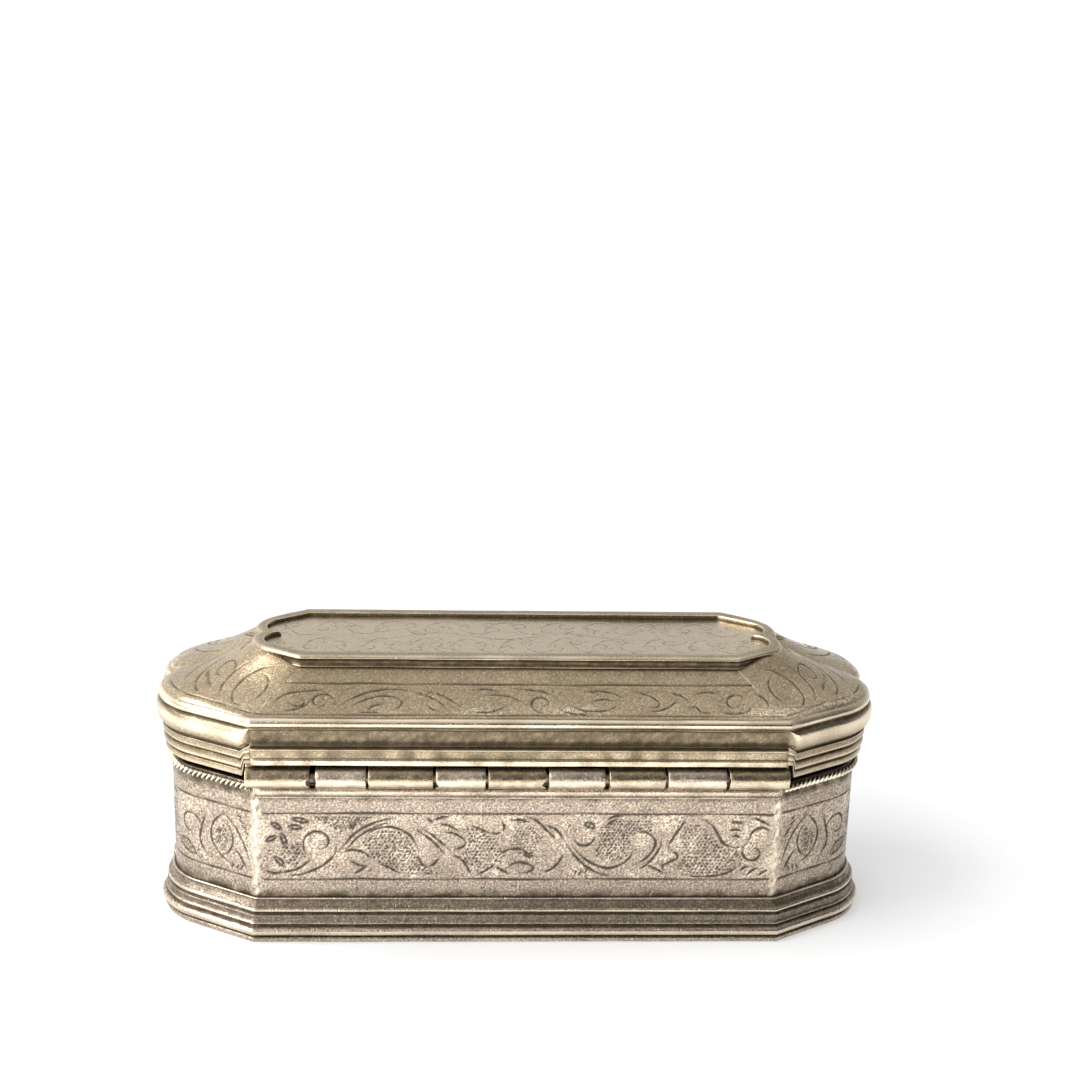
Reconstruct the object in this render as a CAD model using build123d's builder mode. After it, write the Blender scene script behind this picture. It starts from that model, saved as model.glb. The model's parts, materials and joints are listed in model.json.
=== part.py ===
from build123d import *
from dataclasses import astuple, dataclass
import math
import os

# A small engraved brass needle case: a canted casket with two-lobed ends and a hinged lid.
# Millimetres. X runs along the case, the hinge is on the -Y side, Z is up and the case stands on Z = 0.


@dataclass
class Plan:
    """Outline of the case at one level, the same in all four quarters."""

    half_depth: float  # from the middle to the long side
    corner: float  # half the length of the long side
    reach: float  # X of the lobe's outermost point
    lobe_y: float  # Y of that point, away from the middle
    shoulder: float  # radius that turns the cant into the lobe
    nip: float  # radius that turns the lobe into the end notch


# Driving dimensions
WALL = Plan(half_depth=15.6, corner=35.6, reach=47.95, lobe_y=3.2, shoulder=8.5, nip=4.85)
PANEL = Plan(half_depth=7.8, corner=29.4, reach=35.0, lobe_y=2.5, shoulder=3.0, nip=2.52)
SHEET = 0.9  # thickness of the brass sheet
BASE_SHEET = 1.0
WALL_TOP = 23.0
BEZEL_SHEET = 0.7
BEZEL_BOTTOM = 20.5
BEZEL_TOP = 25.4
BEZEL_BACK = -6.0  # the bezel stops here, so that the lid can swing clear of it
RAIL_DEPTH = 1.0
RAIL_BOTTOM = 20.9
RAIL_TOP = 22.8
LID_INSET = -0.5  # inner face of the lid, from the wall's outer face
LID_BOTTOM = 24.0
CORNICE_TOP = 32.9
LID_RAIL_BOTTOM = 26.45
LID_RAIL_TOP = 29.0
LID_RAIL_FRONT = WALL.half_depth + 2.9
BAND_OUTSET = 1.4
SLOPE_TOP = 37.3
SLOPE_WIDTH = 1.5  # level thickness of the sloping sheet
RIM_WIDTH = 2.0
RIM_TOP = 39.2
PANEL_TOP = 38.5
HINGE_Y = -WALL.half_depth - 1.7
HINGE_Z = 24.65
KNUCKLE_RADIUS = 1.5
PIN_RADIUS = 0.7
PIN_PLAY = 0.06
PIN_ENDS = (-36.7, 36.4)
HINGE_GAP_END = 37.0  # half-length of the space left in the cornice for the hinge
TAB_FRONT = HINGE_Y + 0.3
TAB_BACK = HINGE_Y + KNUCKLE_RADIUS

# Start and end of each knuckle along the hinge, cut by hand and so uneven; odd ones are on the lid
KNUCKLES = [
    (-36.6, -28.1),
    (-27.3, -20.6),
    (-20.3, -11.7),
    (-11.3, -4.7),
    (-4.3, 3.4),
    (3.8, 11.3),
    (11.9, 19.4),
    (19.8, 27.7),
    (28.1, 36.2),
]

# Mouldings as (height, how far the face stands out from the wall)
PLINTH = [
    (0.0, 1.5),
    (0.8, 1.6),
    (0.95, 1.3),
    (1.2, 1.75),
    (1.7, 2.0),
    (2.3, 1.7),
    (2.5, 1.25),
    (3.9, 1.2),
    (4.1, 0.95),
    (4.5, 1.15),
    (4.9, 0.9),
    (5.5, 0.5),
    (6.2, 0.35),
]
ROPE = [(21.7, 0.25), (21.95, 0.6), (22.75, 0.6), (23.0, 0.25)]
CORNICE = [
    (24.0, 0.9),
    (25.3, 1.0),
    (25.5, BAND_OUTSET),
    (29.0, BAND_OUTSET),
    (29.2, 1.0),
    (30.9, 0.9),
    (31.2, 1.8),
    (31.8, 2.05),
    (32.4, 1.8),
    (32.9, 0.9),
]
# Hip of the lid as (height, part of the way from the cornice outline to the rim outline)
SLOPE = [(32.9, 0.0), (34.05, 0.3), (35.55, 0.65), (37.3, 1.0)]
SLOPE_FOOT_OUTSET = 0.6
SLOPE_HEAD_OUTSET = 1.5


def cant_angle(plan):
    """Angle between the long side and the cant, which leaves the corner and meets the shoulder smoothly."""
    along = plan.reach - plan.shoulder - plan.corner
    across = plan.half_depth - plan.lobe_y
    return math.atan2(across, along) - math.asin(plan.shoulder / math.hypot(along, across))


def grown(plan, outset):
    """The same outline with every face moved out by one distance."""
    corner = plan.corner + outset * math.tan(cant_angle(plan) / 2)
    return Plan(
        plan.half_depth + outset,
        corner,
        plan.reach + outset,
        plan.lobe_y,
        plan.shoulder + outset,
        plan.nip + outset,
    )


def between(low, high, part):
    """Outline part of the way from one plan to another."""
    return Plan(*[a + (b - a) * part for a, b in zip(astuple(low), astuple(high))])


def section(plan, height):
    """The closed outline as a face at one height: one quarter, then its mirror images."""
    cant = cant_angle(plan)
    shoulder_x = plan.reach - plan.shoulder
    start_x = shoulder_x + plan.shoulder * math.sin(cant)
    start_y = -plan.lobe_y - plan.shoulder * math.cos(cant)
    cant_degrees = math.degrees(cant)
    notch_degrees = math.degrees(math.asin(plan.lobe_y / plan.nip))
    with BuildSketch(Plane.XY.offset(height)) as outline:
        with BuildLine():
            Polyline((0, -plan.half_depth), (plan.corner, -plan.half_depth), (start_x, start_y))
            CenterArc((shoulder_x, -plan.lobe_y), plan.shoulder, cant_degrees - 90, 90 - cant_degrees)
            CenterArc((plan.reach - plan.nip, -plan.lobe_y), plan.nip, 0, notch_degrees)
            mirror(about=Plane.XZ)
            mirror(about=Plane.YZ)
        make_face()
    return outline.sketch


def stack(levels, plan):
    """Loft straight-sided bands through (height, outset) levels, in the part being made."""
    loft([section(grown(plan, outset), height) for height, outset in levels], ruled=True)


def prism(plan, bottom, top, mode=Mode.ADD):
    """Extrude one outline between two heights, in the part being made."""
    extrude(section(plan, bottom), amount=top - bottom, mode=mode)


def cut_behind(face_y, bottom, top):
    """Cut away everything on the hinge side of a plane, in the part being made."""
    size = WALL.reach * 3
    with BuildSketch(Plane.XY.offset(bottom)) as cutter:
        with Locations((0, face_y - size / 2)):
            Rectangle(size, size)
    extrude(cutter.sketch, amount=top - bottom, mode=Mode.SUBTRACT)


def save(part, name):
    """Label one finished piece and write it."""
    part.label = name
    export_step(part, f"parts/{name}.step")


def make_knuckle(ends, bore, tab_end, tab_back):
    """One hinge tube with the soldered tab that joins it to its rail."""
    start, end = ends
    with BuildPart() as knuckle:
        with BuildSketch(Plane.YZ.offset(start)):
            with Locations((HINGE_Y, HINGE_Z)):
                Circle(KNUCKLE_RADIUS)
            with Locations(((TAB_FRONT + tab_back) / 2, (HINGE_Z + tab_end) / 2)):
                Rectangle(tab_back - TAB_FRONT, abs(tab_end - HINGE_Z))
            with Locations((HINGE_Y, HINGE_Z)):
                Circle(bore, mode=Mode.SUBTRACT)
        extrude(amount=end - start)
    return knuckle.part


os.makedirs("parts", exist_ok=True)

# Floor sheet inside the plinth
with BuildPart() as base_plate:
    prism(WALL, 0, BASE_SHEET)
save(base_plate.part, "base_plate")

# Reeded plinth strip around the foot of the wall
with BuildPart() as base_moulding:
    stack(PLINTH, WALL)
    prism(WALL, 0, PLINTH[-1][0], Mode.SUBTRACT)
save(base_moulding.part, "base_moulding")

# Wall band, standing on the floor sheet
with BuildPart() as body_wall:
    prism(WALL, BASE_SHEET, WALL_TOP)
    prism(grown(WALL, -SHEET), BASE_SHEET, WALL_TOP, Mode.SUBTRACT)
save(body_wall.part, "body_wall")

# Bezel inside the wall, over which the lid shuts
with BuildPart() as inner_bezel:
    prism(grown(WALL, -SHEET), BEZEL_BOTTOM, BEZEL_TOP)
    prism(grown(WALL, -SHEET - BEZEL_SHEET), BEZEL_BOTTOM, BEZEL_TOP, Mode.SUBTRACT)
    cut_behind(BEZEL_BACK, BEZEL_BOTTOM, BEZEL_TOP)
save(inner_bezel.part, "inner_bezel")

# Twisted wire border around the cants, the ends and the front, as its plain envelope
with BuildPart() as rope_border:
    stack(ROPE, WALL)
    prism(WALL, ROPE[0][0], ROPE[-1][0], Mode.SUBTRACT)
    cut_behind(-WALL.half_depth, ROPE[0][0], ROPE[-1][0])
save(rope_border.part, "rope_border")

# Bead along the top of the hinge side, which carries the body's knuckles
with BuildPart() as body_rail:
    with BuildSketch(Plane.YZ.offset(-WALL.corner)):
        with Locations((-WALL.half_depth - RAIL_DEPTH / 2, (RAIL_BOTTOM + RAIL_TOP) / 2)):
            Rectangle(RAIL_DEPTH, RAIL_TOP - RAIL_BOTTOM)
    extrude(amount=2 * WALL.corner)
    fillet(body_rail.edges().filter_by(Axis.X).group_by(Axis.Y)[0], RAIL_DEPTH * 0.4)
save(body_rail.part, "body_rail")

# Knuckles, numbered along +X on each side of the hinge
for number, ends in enumerate(KNUCKLES[0::2], start=1):
    save(make_knuckle(ends, PIN_RADIUS + PIN_PLAY, LID_RAIL_BOTTOM, TAB_BACK), f"lid_knuckle_{number}")
for number, ends in enumerate(KNUCKLES[1::2], start=1):
    save(make_knuckle(ends, PIN_RADIUS, RAIL_TOP, -WALL.half_depth), f"body_knuckle_{number}")

# Hinge pin, held by the body's knuckles
with BuildPart() as hinge_pin:
    with BuildSketch(Plane.YZ.offset(PIN_ENDS[0])):
        with Locations((HINGE_Y, HINGE_Z)):
            Circle(PIN_RADIUS)
    extrude(amount=PIN_ENDS[1] - PIN_ENDS[0])
save(hinge_pin.part, "hinge_pin")

# Moulded cornice of the lid, open below on the hinge side for the knuckles
with BuildPart() as lid_cornice:
    stack(CORNICE, WALL)
    prism(grown(WALL, LID_INSET), LID_BOTTOM, CORNICE_TOP, Mode.SUBTRACT)
    with BuildSketch(Plane.XY.offset(LID_BOTTOM)):
        with Locations((0, HINGE_Y)):
            Rectangle(2 * HINGE_GAP_END, 2 * (-HINGE_Y - WALL.half_depth - LID_INSET + 0.3))
    extrude(amount=LID_RAIL_BOTTOM - LID_BOTTOM, mode=Mode.SUBTRACT)
save(lid_cornice.part, "lid_cornice")

# Rail on the hinge side of the cornice, which carries the lid's knuckles
with BuildPart() as lid_rail:
    rail_back = WALL.half_depth + BAND_OUTSET
    with BuildSketch(Plane.YZ.offset(-grown(WALL, BAND_OUTSET).corner)):
        with Locations((-(rail_back + LID_RAIL_FRONT) / 2, (LID_RAIL_BOTTOM + LID_RAIL_TOP) / 2)):
            Rectangle(LID_RAIL_FRONT - rail_back, LID_RAIL_TOP - LID_RAIL_BOTTOM)
    extrude(amount=2 * grown(WALL, BAND_OUTSET).corner)
    chamfer(lid_rail.edges().filter_by(Axis.X).group_by(Axis.Y)[0], 0.25)
save(lid_rail.part, "lid_rail")

# Hipped sheet of the lid, from the cornice up to the rim
with BuildPart() as lid_slope:
    foot = grown(WALL, SLOPE_FOOT_OUTSET)
    head = grown(PANEL, SLOPE_HEAD_OUTSET)
    outer = [(between(foot, head, part), height) for height, part in SLOPE]
    loft([section(plan, height) for plan, height in outer], ruled=True)
    inner = [section(grown(plan, -SLOPE_WIDTH), height) for plan, height in outer]
    loft(inner, ruled=True, mode=Mode.SUBTRACT)
save(lid_slope.part, "lid_slope")

# Raised frame around the top panel
with BuildPart() as lid_rim:
    prism(grown(PANEL, RIM_WIDTH), SLOPE_TOP, RIM_TOP)
    chamfer(lid_rim.edges().group_by(Axis.Z)[-1], 0.3)
    prism(PANEL, SLOPE_TOP, RIM_TOP, Mode.SUBTRACT)
save(lid_rim.part, "lid_rim")

# Flat engraved panel sunk in the frame
with BuildPart() as lid_panel:
    prism(PANEL, PANEL_TOP - SHEET, PANEL_TOP)
save(lid_panel.part, "lid_panel")
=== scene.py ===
import json
import math
from dataclasses import astuple, dataclass

import bmesh
import bpy
import numpy as np
from mathutils import Matrix, Vector


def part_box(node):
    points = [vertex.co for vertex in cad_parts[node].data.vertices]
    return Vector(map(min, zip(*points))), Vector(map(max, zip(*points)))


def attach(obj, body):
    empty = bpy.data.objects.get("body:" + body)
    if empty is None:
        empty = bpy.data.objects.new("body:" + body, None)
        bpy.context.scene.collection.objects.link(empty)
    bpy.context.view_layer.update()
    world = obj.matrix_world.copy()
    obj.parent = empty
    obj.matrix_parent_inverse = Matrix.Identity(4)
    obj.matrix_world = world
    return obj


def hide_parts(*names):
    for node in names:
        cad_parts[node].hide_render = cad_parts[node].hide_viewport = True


# An engraved brass needle case. Shapes are worked out in millimetres and made into meshes in metres.
# X runs along the case, its hinge is on the -Y side, and the case stands on Z = 0.

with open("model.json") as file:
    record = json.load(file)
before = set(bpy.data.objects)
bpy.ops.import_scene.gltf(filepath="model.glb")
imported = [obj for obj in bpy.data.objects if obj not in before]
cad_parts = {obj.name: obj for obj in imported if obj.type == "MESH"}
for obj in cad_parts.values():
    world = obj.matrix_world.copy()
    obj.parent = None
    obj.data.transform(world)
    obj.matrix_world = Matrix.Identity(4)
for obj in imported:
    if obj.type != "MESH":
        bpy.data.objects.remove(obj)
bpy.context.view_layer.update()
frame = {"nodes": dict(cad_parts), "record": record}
MM = 0.001


@dataclass
class Plan:
    """Outline of the case at one level, the same in all four quarters, in millimetres."""

    half_depth: float
    corner: float  # half the length of the long side
    reach: float  # X of the lobe's outermost point
    lobe_y: float
    shoulder: float  # radius that turns the cant into the lobe
    nip: float  # radius that turns the lobe into the end notch


def box_mm(node):
    """Lowest and highest corners of a CAD node, in millimetres."""
    low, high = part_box(node)
    return np.array(low) / MM, np.array(high) / MM


def hinge_line():
    """Y and Z of the lid's hinge, in millimetres."""
    joint = next(j for j in frame["record"]["behaviour"]["joints"] if j["name"] == "lid_hinge")
    return joint["pos_m"][1] / MM, joint["pos_m"][2] / MM


WALL_LOW, WALL_HIGH = box_mm("body_wall")
PANEL_LOW, PANEL_HIGH = box_mm("lid_panel")
RAIL_LOW, RAIL_HIGH = box_mm("body_rail")
LID_RAIL_LOW, LID_RAIL_HIGH = box_mm("lid_rail")
CORNICE_LOW, CORNICE_HIGH = box_mm("lid_cornice")
HINGE_Y, HINGE_Z = hinge_line()
WALL = Plan(WALL_HIGH[1], RAIL_HIGH[0], WALL_HIGH[0], 3.2, 8.5, 4.85)
PANEL = Plan(PANEL_HIGH[1], 29.4, PANEL_HIGH[0], 2.5, 3.0, 2.52)
SHEET = 0.9
BEZEL_SHEET = 0.7
BEZEL_BACK = -6.0
LID_INSET = -0.5
SLOPE_FOOT_OUTSET = 0.6
SLOPE_HEAD_OUTSET = 1.5
SLOPE_SHEET = 1.5
HINGE_GAP_END = 37.0
KNUCKLE_RADIUS = 1.5
PIN_RADIUS = 0.7
ARRIS = (0.12, 0.28)  # how far from a sharp corner the extra columns stand
SOFTENED = 14  # columns on each side of a sharp corner that may be rounded
FINE_STEP = 0.185
COARSE_STEP = 0.55
CUT_DEPTH = 0.12
DOT_DEPTH = 0.09
CORNER_ROUND = 0.3
WALL_ROUND = 0.9
HIP_ROUND = 1.6
BAND_LOW, BAND_HIGH = 8.8, 18.6  # the border lines on the wall
LID_BORDER_LOW, LID_BORDER_HIGH = 0.45, 6.35  # the border lines on the lid's slope, measured up it
KNUCKLE_CLEARANCE = 1.3  # how far out the cornice comes behind the knuckles

# Mouldings from bottom to top, as (height, how far it stands out, how bright with wear and painted highlight,
# how dark with dirt and painted shade)
PLINTH = [
    (0.0, 1.1, 0.0, 0.6), (0.0, 1.38, 0.2, 0.4), (0.12, 1.56, 0.5, 0.1), (0.55, 1.6, 0.5, 0.0),
    (0.78, 1.5, 0.1, 0.5), (0.9, 1.2, 0.0, 1.0), (1.0, 1.45, 0.0, 0.7), (1.15, 1.75, 0.4, 0.1),
    (1.5, 1.95, 0.9, 0.0), (1.9, 1.95, 0.9, 0.0), (2.2, 1.7, 0.3, 0.2), (2.34, 1.3, 0.0, 0.9),
    (2.46, 1.1, 0.0, 1.0), (2.6, 1.3, 0.2, 0.3), (2.75, 1.45, 0.8, 0.0), (2.9, 1.38, 0.4, 0.2),
    (3.05, 1.2, 0.0, 0.6), (3.45, 1.12, 0.0, 0.6), (3.85, 1.25, 0.1, 0.4), (3.98, 1.15, 0.1, 0.6),
    (4.1, 0.85, 0.0, 1.0), (4.25, 0.9, 0.0, 0.9), (4.38, 1.12, 0.6, 0.1), (4.62, 1.2, 1.0, 0.0),
    (4.85, 1.08, 0.5, 0.1), (4.98, 0.82, 0.0, 0.7), (5.3, 0.55, 0.0, 0.5), (5.72, 0.38, 0.0, 0.6),
    (5.86, 0.3, 0.0, 0.9), (5.95, 0.42, 0.6, 0.2), (6.1, 0.42, 0.9, 0.0), (6.2, 0.28, 0.4, 0.3),
    (6.2, 0.0, 0.0, 1.0),
]
CORNICE = [
    (24.0, 0.3, 0.0, 0.7), (24.0, 0.72, 0.1, 0.5), (24.1, 0.9, 0.7, 0.1), (24.45, 0.95, 0.5, 0.1),
    (25.1, 0.88, 0.1, 0.3), (25.28, 0.72, 0.0, 1.0), (25.4, 0.85, 0.0, 0.8), (25.5, 1.25, 0.5, 0.1),
    (25.7, 1.38, 0.8, 0.0), (26.3, 1.28, 0.1, 0.3), (26.95, 1.18, 0.0, 0.5), (27.12, 1.0, 0.0, 1.0),
    (27.24, 1.18, 0.2, 0.4), (27.42, 1.38, 0.9, 0.0), (28.0, 1.28, 0.1, 0.3), (28.7, 1.22, 0.0, 0.4),
    (28.86, 1.38, 0.9, 0.0), (29.0, 1.36, 0.7, 0.1), (29.1, 1.15, 0.0, 1.0), (29.5, 1.02, 0.0, 0.9),
    (29.75, 0.98, 0.0, 0.68), (30.7, 1.0, 0.0, 0.64), (31.2, 1.1, 0.1, 0.6), (31.36, 1.32, 0.8, 0.0),
    (31.48, 1.2, 0.2, 0.8), (31.58, 1.4, 0.1, 0.7), (31.7, 1.7, 0.3, 0.2), (31.95, 1.92, 0.55, 0.0),
    (32.3, 1.98, 0.75, 0.0), (32.6, 1.88, 1.0, 0.0), (32.85, 1.6, 1.0, 0.0), (32.97, 1.2, 0.9, 0.0),
    (32.9, 0.5, 0.0, 1.0),
]
# The same cornice on the cants, the ends and the front, where a bulge takes the place of the cove
CORNICE_END = [
    (24.0, 0.3, 0.0, 0.7), (24.0, 0.72, 0.1, 0.5), (24.1, 0.9, 0.7, 0.1), (24.45, 0.95, 0.5, 0.1),
    (24.95, 0.9, 0.1, 0.3), (25.08, 0.66, 0.0, 1.0), (25.2, 0.75, 0.0, 1.0), (25.3, 1.04, 0.5, 0.1),
    (25.5, 1.15, 0.9, 0.0), (26.0, 1.12, 0.1, 0.3), (26.4, 1.02, 0.0, 0.8), (26.52, 0.8, 0.0, 1.0),
    (26.64, 1.05, 0.2, 0.4), (26.8, 1.24, 0.9, 0.0), (27.2, 1.22, 0.1, 0.3), (27.6, 1.2, 0.0, 0.4),
    (27.75, 1.34, 0.8, 0.0), (27.88, 1.26, 0.2, 0.9), (28.02, 1.0, 0.0, 1.0), (28.25, 1.4, 0.0, 0.8),
    (28.75, 1.8, 0.3, 0.1), (29.4, 2.0, 0.6, 0.0), (30.1, 2.05, 0.9, 0.0), (30.75, 1.96, 0.8, 0.0),
    (31.2, 1.7, 0.2, 0.6), (31.36, 1.42, 0.0, 1.0), (31.52, 1.5, 0.1, 0.9), (31.85, 1.72, 0.8, 0.0),
    (32.25, 1.68, 1.0, 0.0), (32.6, 1.46, 0.9, 0.0), (32.85, 1.1, 0.5, 0.0), (32.95, 0.6, 0.0, 0.2),
    (32.9, 0.5, 0.0, 1.0),
]
RIM = [
    (37.3, 1.4, 0.0, 0.8), (37.34, 1.62, 0.7, 0.1), (37.48, 1.64, 0.6, 0.1), (37.6, 1.45, 0.0, 0.8),
    (37.9, 1.32, 0.0, 0.9), (38.25, 1.38, 0.0, 0.8), (38.45, 1.6, 0.1, 0.5), (38.55, 1.86, 0.5, 0.1),
    (38.68, 1.97, 0.8, 0.0), (38.84, 1.93, 0.9, 0.0), (39.06, 1.66, 0.7, 0.0), (39.17, 1.3, 0.3, 0.0),
    (39.16, 0.7, 0.1, 0.0), (39.12, 0.32, 0.4, 0.0), (39.04, 0.1, 0.8, 0.0), (38.85, 0.02, 0.3, 0.2),
    (38.6, 0.0, 0.0, 0.7), (38.4, 0.0, 0.0, 1.0),
]
# The frame's outer side on the lobes, where it runs down into the slope
RIM_END = [
    (37.3, 1.4, 0.0, 0.5), (37.6, 1.7, 0.0, 0.4), (37.8, 1.85, 0.0, 0.2), (37.95, 1.95, 0.0, 0.2),
    (38.1, 1.98, 0.0, 0.2), (38.22, 1.98, 0.0, 0.1), (38.36, 1.94, 0.0, 0.1), (38.5, 1.88, 0.1, 0.0),
    (38.66, 1.78, 0.3, 0.0), (38.84, 1.62, 0.5, 0.0), (39.0, 1.4, 0.4, 0.0), (39.1, 1.14, 0.2, 0.0),
    (39.14, 0.7, 0.1, 0.0), (39.12, 0.32, 0.4, 0.0), (39.04, 0.1, 0.8, 0.0), (38.85, 0.02, 0.3, 0.2),
    (38.6, 0.0, 0.0, 0.7), (38.4, 0.0, 0.0, 1.0),
]
HINGE_BEAD = [
    (20.92, 0.0, 0.0, 1.0), (20.94, 0.26, 0.1, 0.5), (21.04, 0.36, 0.8, 0.0), (21.18, 0.34, 0.5, 0.1),
    (21.26, 0.3, 0.0, 1.0), (21.36, 0.5, 0.1, 0.4), (21.55, 0.82, 0.5, 0.0), (21.95, 0.98, 0.7, 0.0),
    (22.4, 0.93, 0.6, 0.0), (22.68, 0.68, 0.2, 0.2), (22.8, 0.3, 0.0, 0.9), (22.8, 0.0, 0.0, 1.0),
]
LID_RAIL = [
    (26.46, 1.4, 0.0, 1.0), (26.6, 2.0, 0.0, 1.0), (26.68, 2.42, 0.5, 0.2), (26.7, 2.52, 0.7, 0.0),
    (26.8, 2.54, 0.75, 0.0), (27.35, 2.54, 0.75, 0.0), (27.52, 2.48, 0.6, 0.0), (27.62, 2.32, 0.1, 0.9),
    (27.74, 2.28, 0.0, 0.8), (28.2, 2.28, 0.0, 0.7), (28.62, 2.3, 0.0, 0.66), (28.78, 2.4, 0.6, 0.0),
    (28.92, 2.4, 0.8, 0.0), (28.99, 2.2, 0.5, 0.1), (28.99, 1.4, 0.0, 1.0),
]
# The lid's slope as (distance in from its foot, height on the long sides, height on the lobes)
SLOPE = [
    (-0.9, 32.2, 32.1), (-0.6, 32.7, 32.65), (-0.3, 32.92, 33.0), (0.0, 33.02, 33.26), (0.6, 33.2, 33.66),
    (1.3, 33.5, 34.0), (2.5, 34.05, 34.6), (4.0, 34.8, 35.4), (5.3, 35.55, 36.25), (6.8, 36.4, 37.4),
    (7.6, 36.88, 38.05), (8.2, 37.3, 38.45),
]
SLOPE_RUN = SLOPE[-1][0]


# ---- Outline ----


def cant_angle(plan):
    """Angle between the long side and the cant, which leaves the corner and meets the shoulder smoothly."""
    along = plan.reach - plan.shoulder - plan.corner
    across = plan.half_depth - plan.lobe_y
    return math.atan2(across, along) - math.asin(plan.shoulder / math.hypot(along, across))


def grown(plan, outset):
    """The same outline with every face moved out by one distance."""
    corner = plan.corner + outset * math.tan(cant_angle(plan) / 2)
    grown_half, grown_reach = plan.half_depth + outset, plan.reach + outset
    return Plan(grown_half, corner, grown_reach, plan.lobe_y, plan.shoulder + outset, plan.nip + outset)


def between(low, high, part):
    """Outline part of the way from one plan to another."""
    return Plan(*[a + (b - a) * part for a, b in zip(astuple(low), astuple(high))])


def arc(centre, radius, start, end, fractions):
    """Points on a round stretch."""
    angles = start + (end - start) * fractions
    return np.column_stack([centre[0] + radius * np.cos(angles), centre[1] + radius * np.sin(angles)])


def stretches(plan):
    """The four stretches of a quarter outline, each as a function of fractions along it."""
    cant = cant_angle(plan)
    shoulder_x = plan.reach - plan.shoulder
    middle = np.array([0.0, -plan.half_depth])
    corner = np.array([plan.corner, -plan.half_depth])
    start = np.array([
        shoulder_x + plan.shoulder * math.sin(cant), -plan.lobe_y - plan.shoulder * math.cos(cant),
    ])
    notch = math.asin(min(1.0, plan.lobe_y / plan.nip))
    return [
        lambda f: middle + (corner - middle) * f[:, None],
        lambda f: corner + (start - corner) * f[:, None],
        lambda f: arc((shoulder_x, -plan.lobe_y), plan.shoulder, cant - math.pi / 2, 0.0, f),
        lambda f: arc((plan.reach - plan.nip, -plan.lobe_y), plan.nip, 0.0, notch, f),
    ]


class Stations:
    """Where the columns of a sweep stand around the outline: evenly, with more beside each sharp corner."""

    SHARP = [(False, True), (True, False), (False, False), (False, True)]

    def __init__(self, step):
        self.fractions = []
        for stretch, (sharp_start, sharp_end) in zip(stretches(WALL), self.SHARP):
            path = stretch(np.linspace(0, 1, 60))
            length = np.linalg.norm(np.diff(path, axis=0), axis=1).sum()
            even = np.linspace(0, 1, max(3, round(length / step)) + 1)[:-1]
            beside = [gap / length for gap in ARRIS]
            extra = beside * sharp_start + [1 - gap for gap in beside] * sharp_end
            self.fractions.append(np.unique(np.concatenate([even, extra])))
        self.corner = len(self.fractions[0])
        self.quarter = sum(map(len, self.fractions)) + 1
        self.count = 4 * self.quarter - 4
        quarter_zone = np.concatenate([order + f for order, f in enumerate(self.fractions)] + [[4.0]])
        half_zone = np.concatenate([quarter_zone, quarter_zone[::-1][1:]])
        self.zone = np.concatenate([half_zone, half_zone[1:-1]])
        self.hinge_half = self.ring(WALL)[:, 1] < 0

    def ring(self, plan, soft=CORNER_ROUND):
        """The closed outline, anticlockwise from the middle of the hinge side, with softened corners."""
        parts = [stretch(f) for stretch, f in zip(stretches(plan), self.fractions)]
        parts.append(stretches(plan)[3](np.array([1.0])))
        quarter = np.concatenate(parts)
        right = np.concatenate([quarter, (quarter * [1, -1])[::-1][1:]])
        loop = np.concatenate([right, (right * [-1, -1])[1:-1]])
        sharp = loop.copy()
        steps = np.arange(-SOFTENED, SOFTENED + 1)
        for index in self.corners():
            radius = soft if index not in self.notches() else min(soft, CORNER_ROUND)
            middle = sharp[index]
            around = (index + steps) % self.count
            away = np.linalg.norm(sharp[around] - middle, axis=1)
            ends = [sharp[(index + side) % self.count] - middle for side in (-1, 1)]
            start, end = (middle + way / np.linalg.norm(way) * radius for way in ends)
            t = ((np.sign(steps) * away / radius + 1) / 2)[:, None]
            bent = (1 - t) ** 2 * start + 2 * t * (1 - t) * middle + t**2 * end
            loop[around] = np.where((away < radius)[:, None], bent, loop[around])
        return loop

    def corners(self):
        """Columns on the sharp corners and in the end notches."""
        c, half = self.corner, 2 * self.quarter - 2
        return [c, half - c, half + c, 2 * half - c] + self.notches()

    def notches(self):
        return [self.quarter - 1, 3 * self.quarter - 3]

    def faces(self):
        """Columns of each face, as (name, columns, whether the columns run towards its corner)."""
        c, q, half = self.corner, self.quarter, 2 * self.quarter - 2
        around = {
            "hinge_side": (np.arange(2 * half - c, 2 * half + c + 1), False),
            "right_near": (np.arange(c, q), False),
            "right_far": (np.arange(q - 1, half - c + 1), True),
            "front": (np.arange(half - c, half + c + 1), False),
            "left_far": (np.arange(half + c, half + q), False),
            "left_near": (np.arange(half + q - 1, 2 * half - c + 1), True),
        }
        return {name: (columns % self.count, flip) for name, (columns, flip) in around.items()}


FINE = Stations(FINE_STEP)
COARSE = Stations(COARSE_STEP)


def sweep(levels, stations, soft=CORNER_ROUND):
    """Points of (height, plan) levels carried round the outline, as rows by columns."""
    rings = []
    for height, plan in levels:
        loop = stations.ring(plan, soft)
        rings.append(np.column_stack([loop, np.full(len(loop), height)]))
    return np.array(rings)


def rounded(profile, passes=2):
    """The profile with its corners cut, which keeps it inside its own points."""
    values = np.array(profile, dtype=float)
    for _ in range(passes):
        near = values[:-1] * 0.75 + values[1:] * 0.25
        far = values[:-1] * 0.25 + values[1:] * 0.75
        middle = np.stack([near, far], axis=1).reshape(-1, values.shape[1])
        values = np.concatenate([values[:1], middle, values[-1:]])
    return values


# ---- Hand-made unevenness ----


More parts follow.
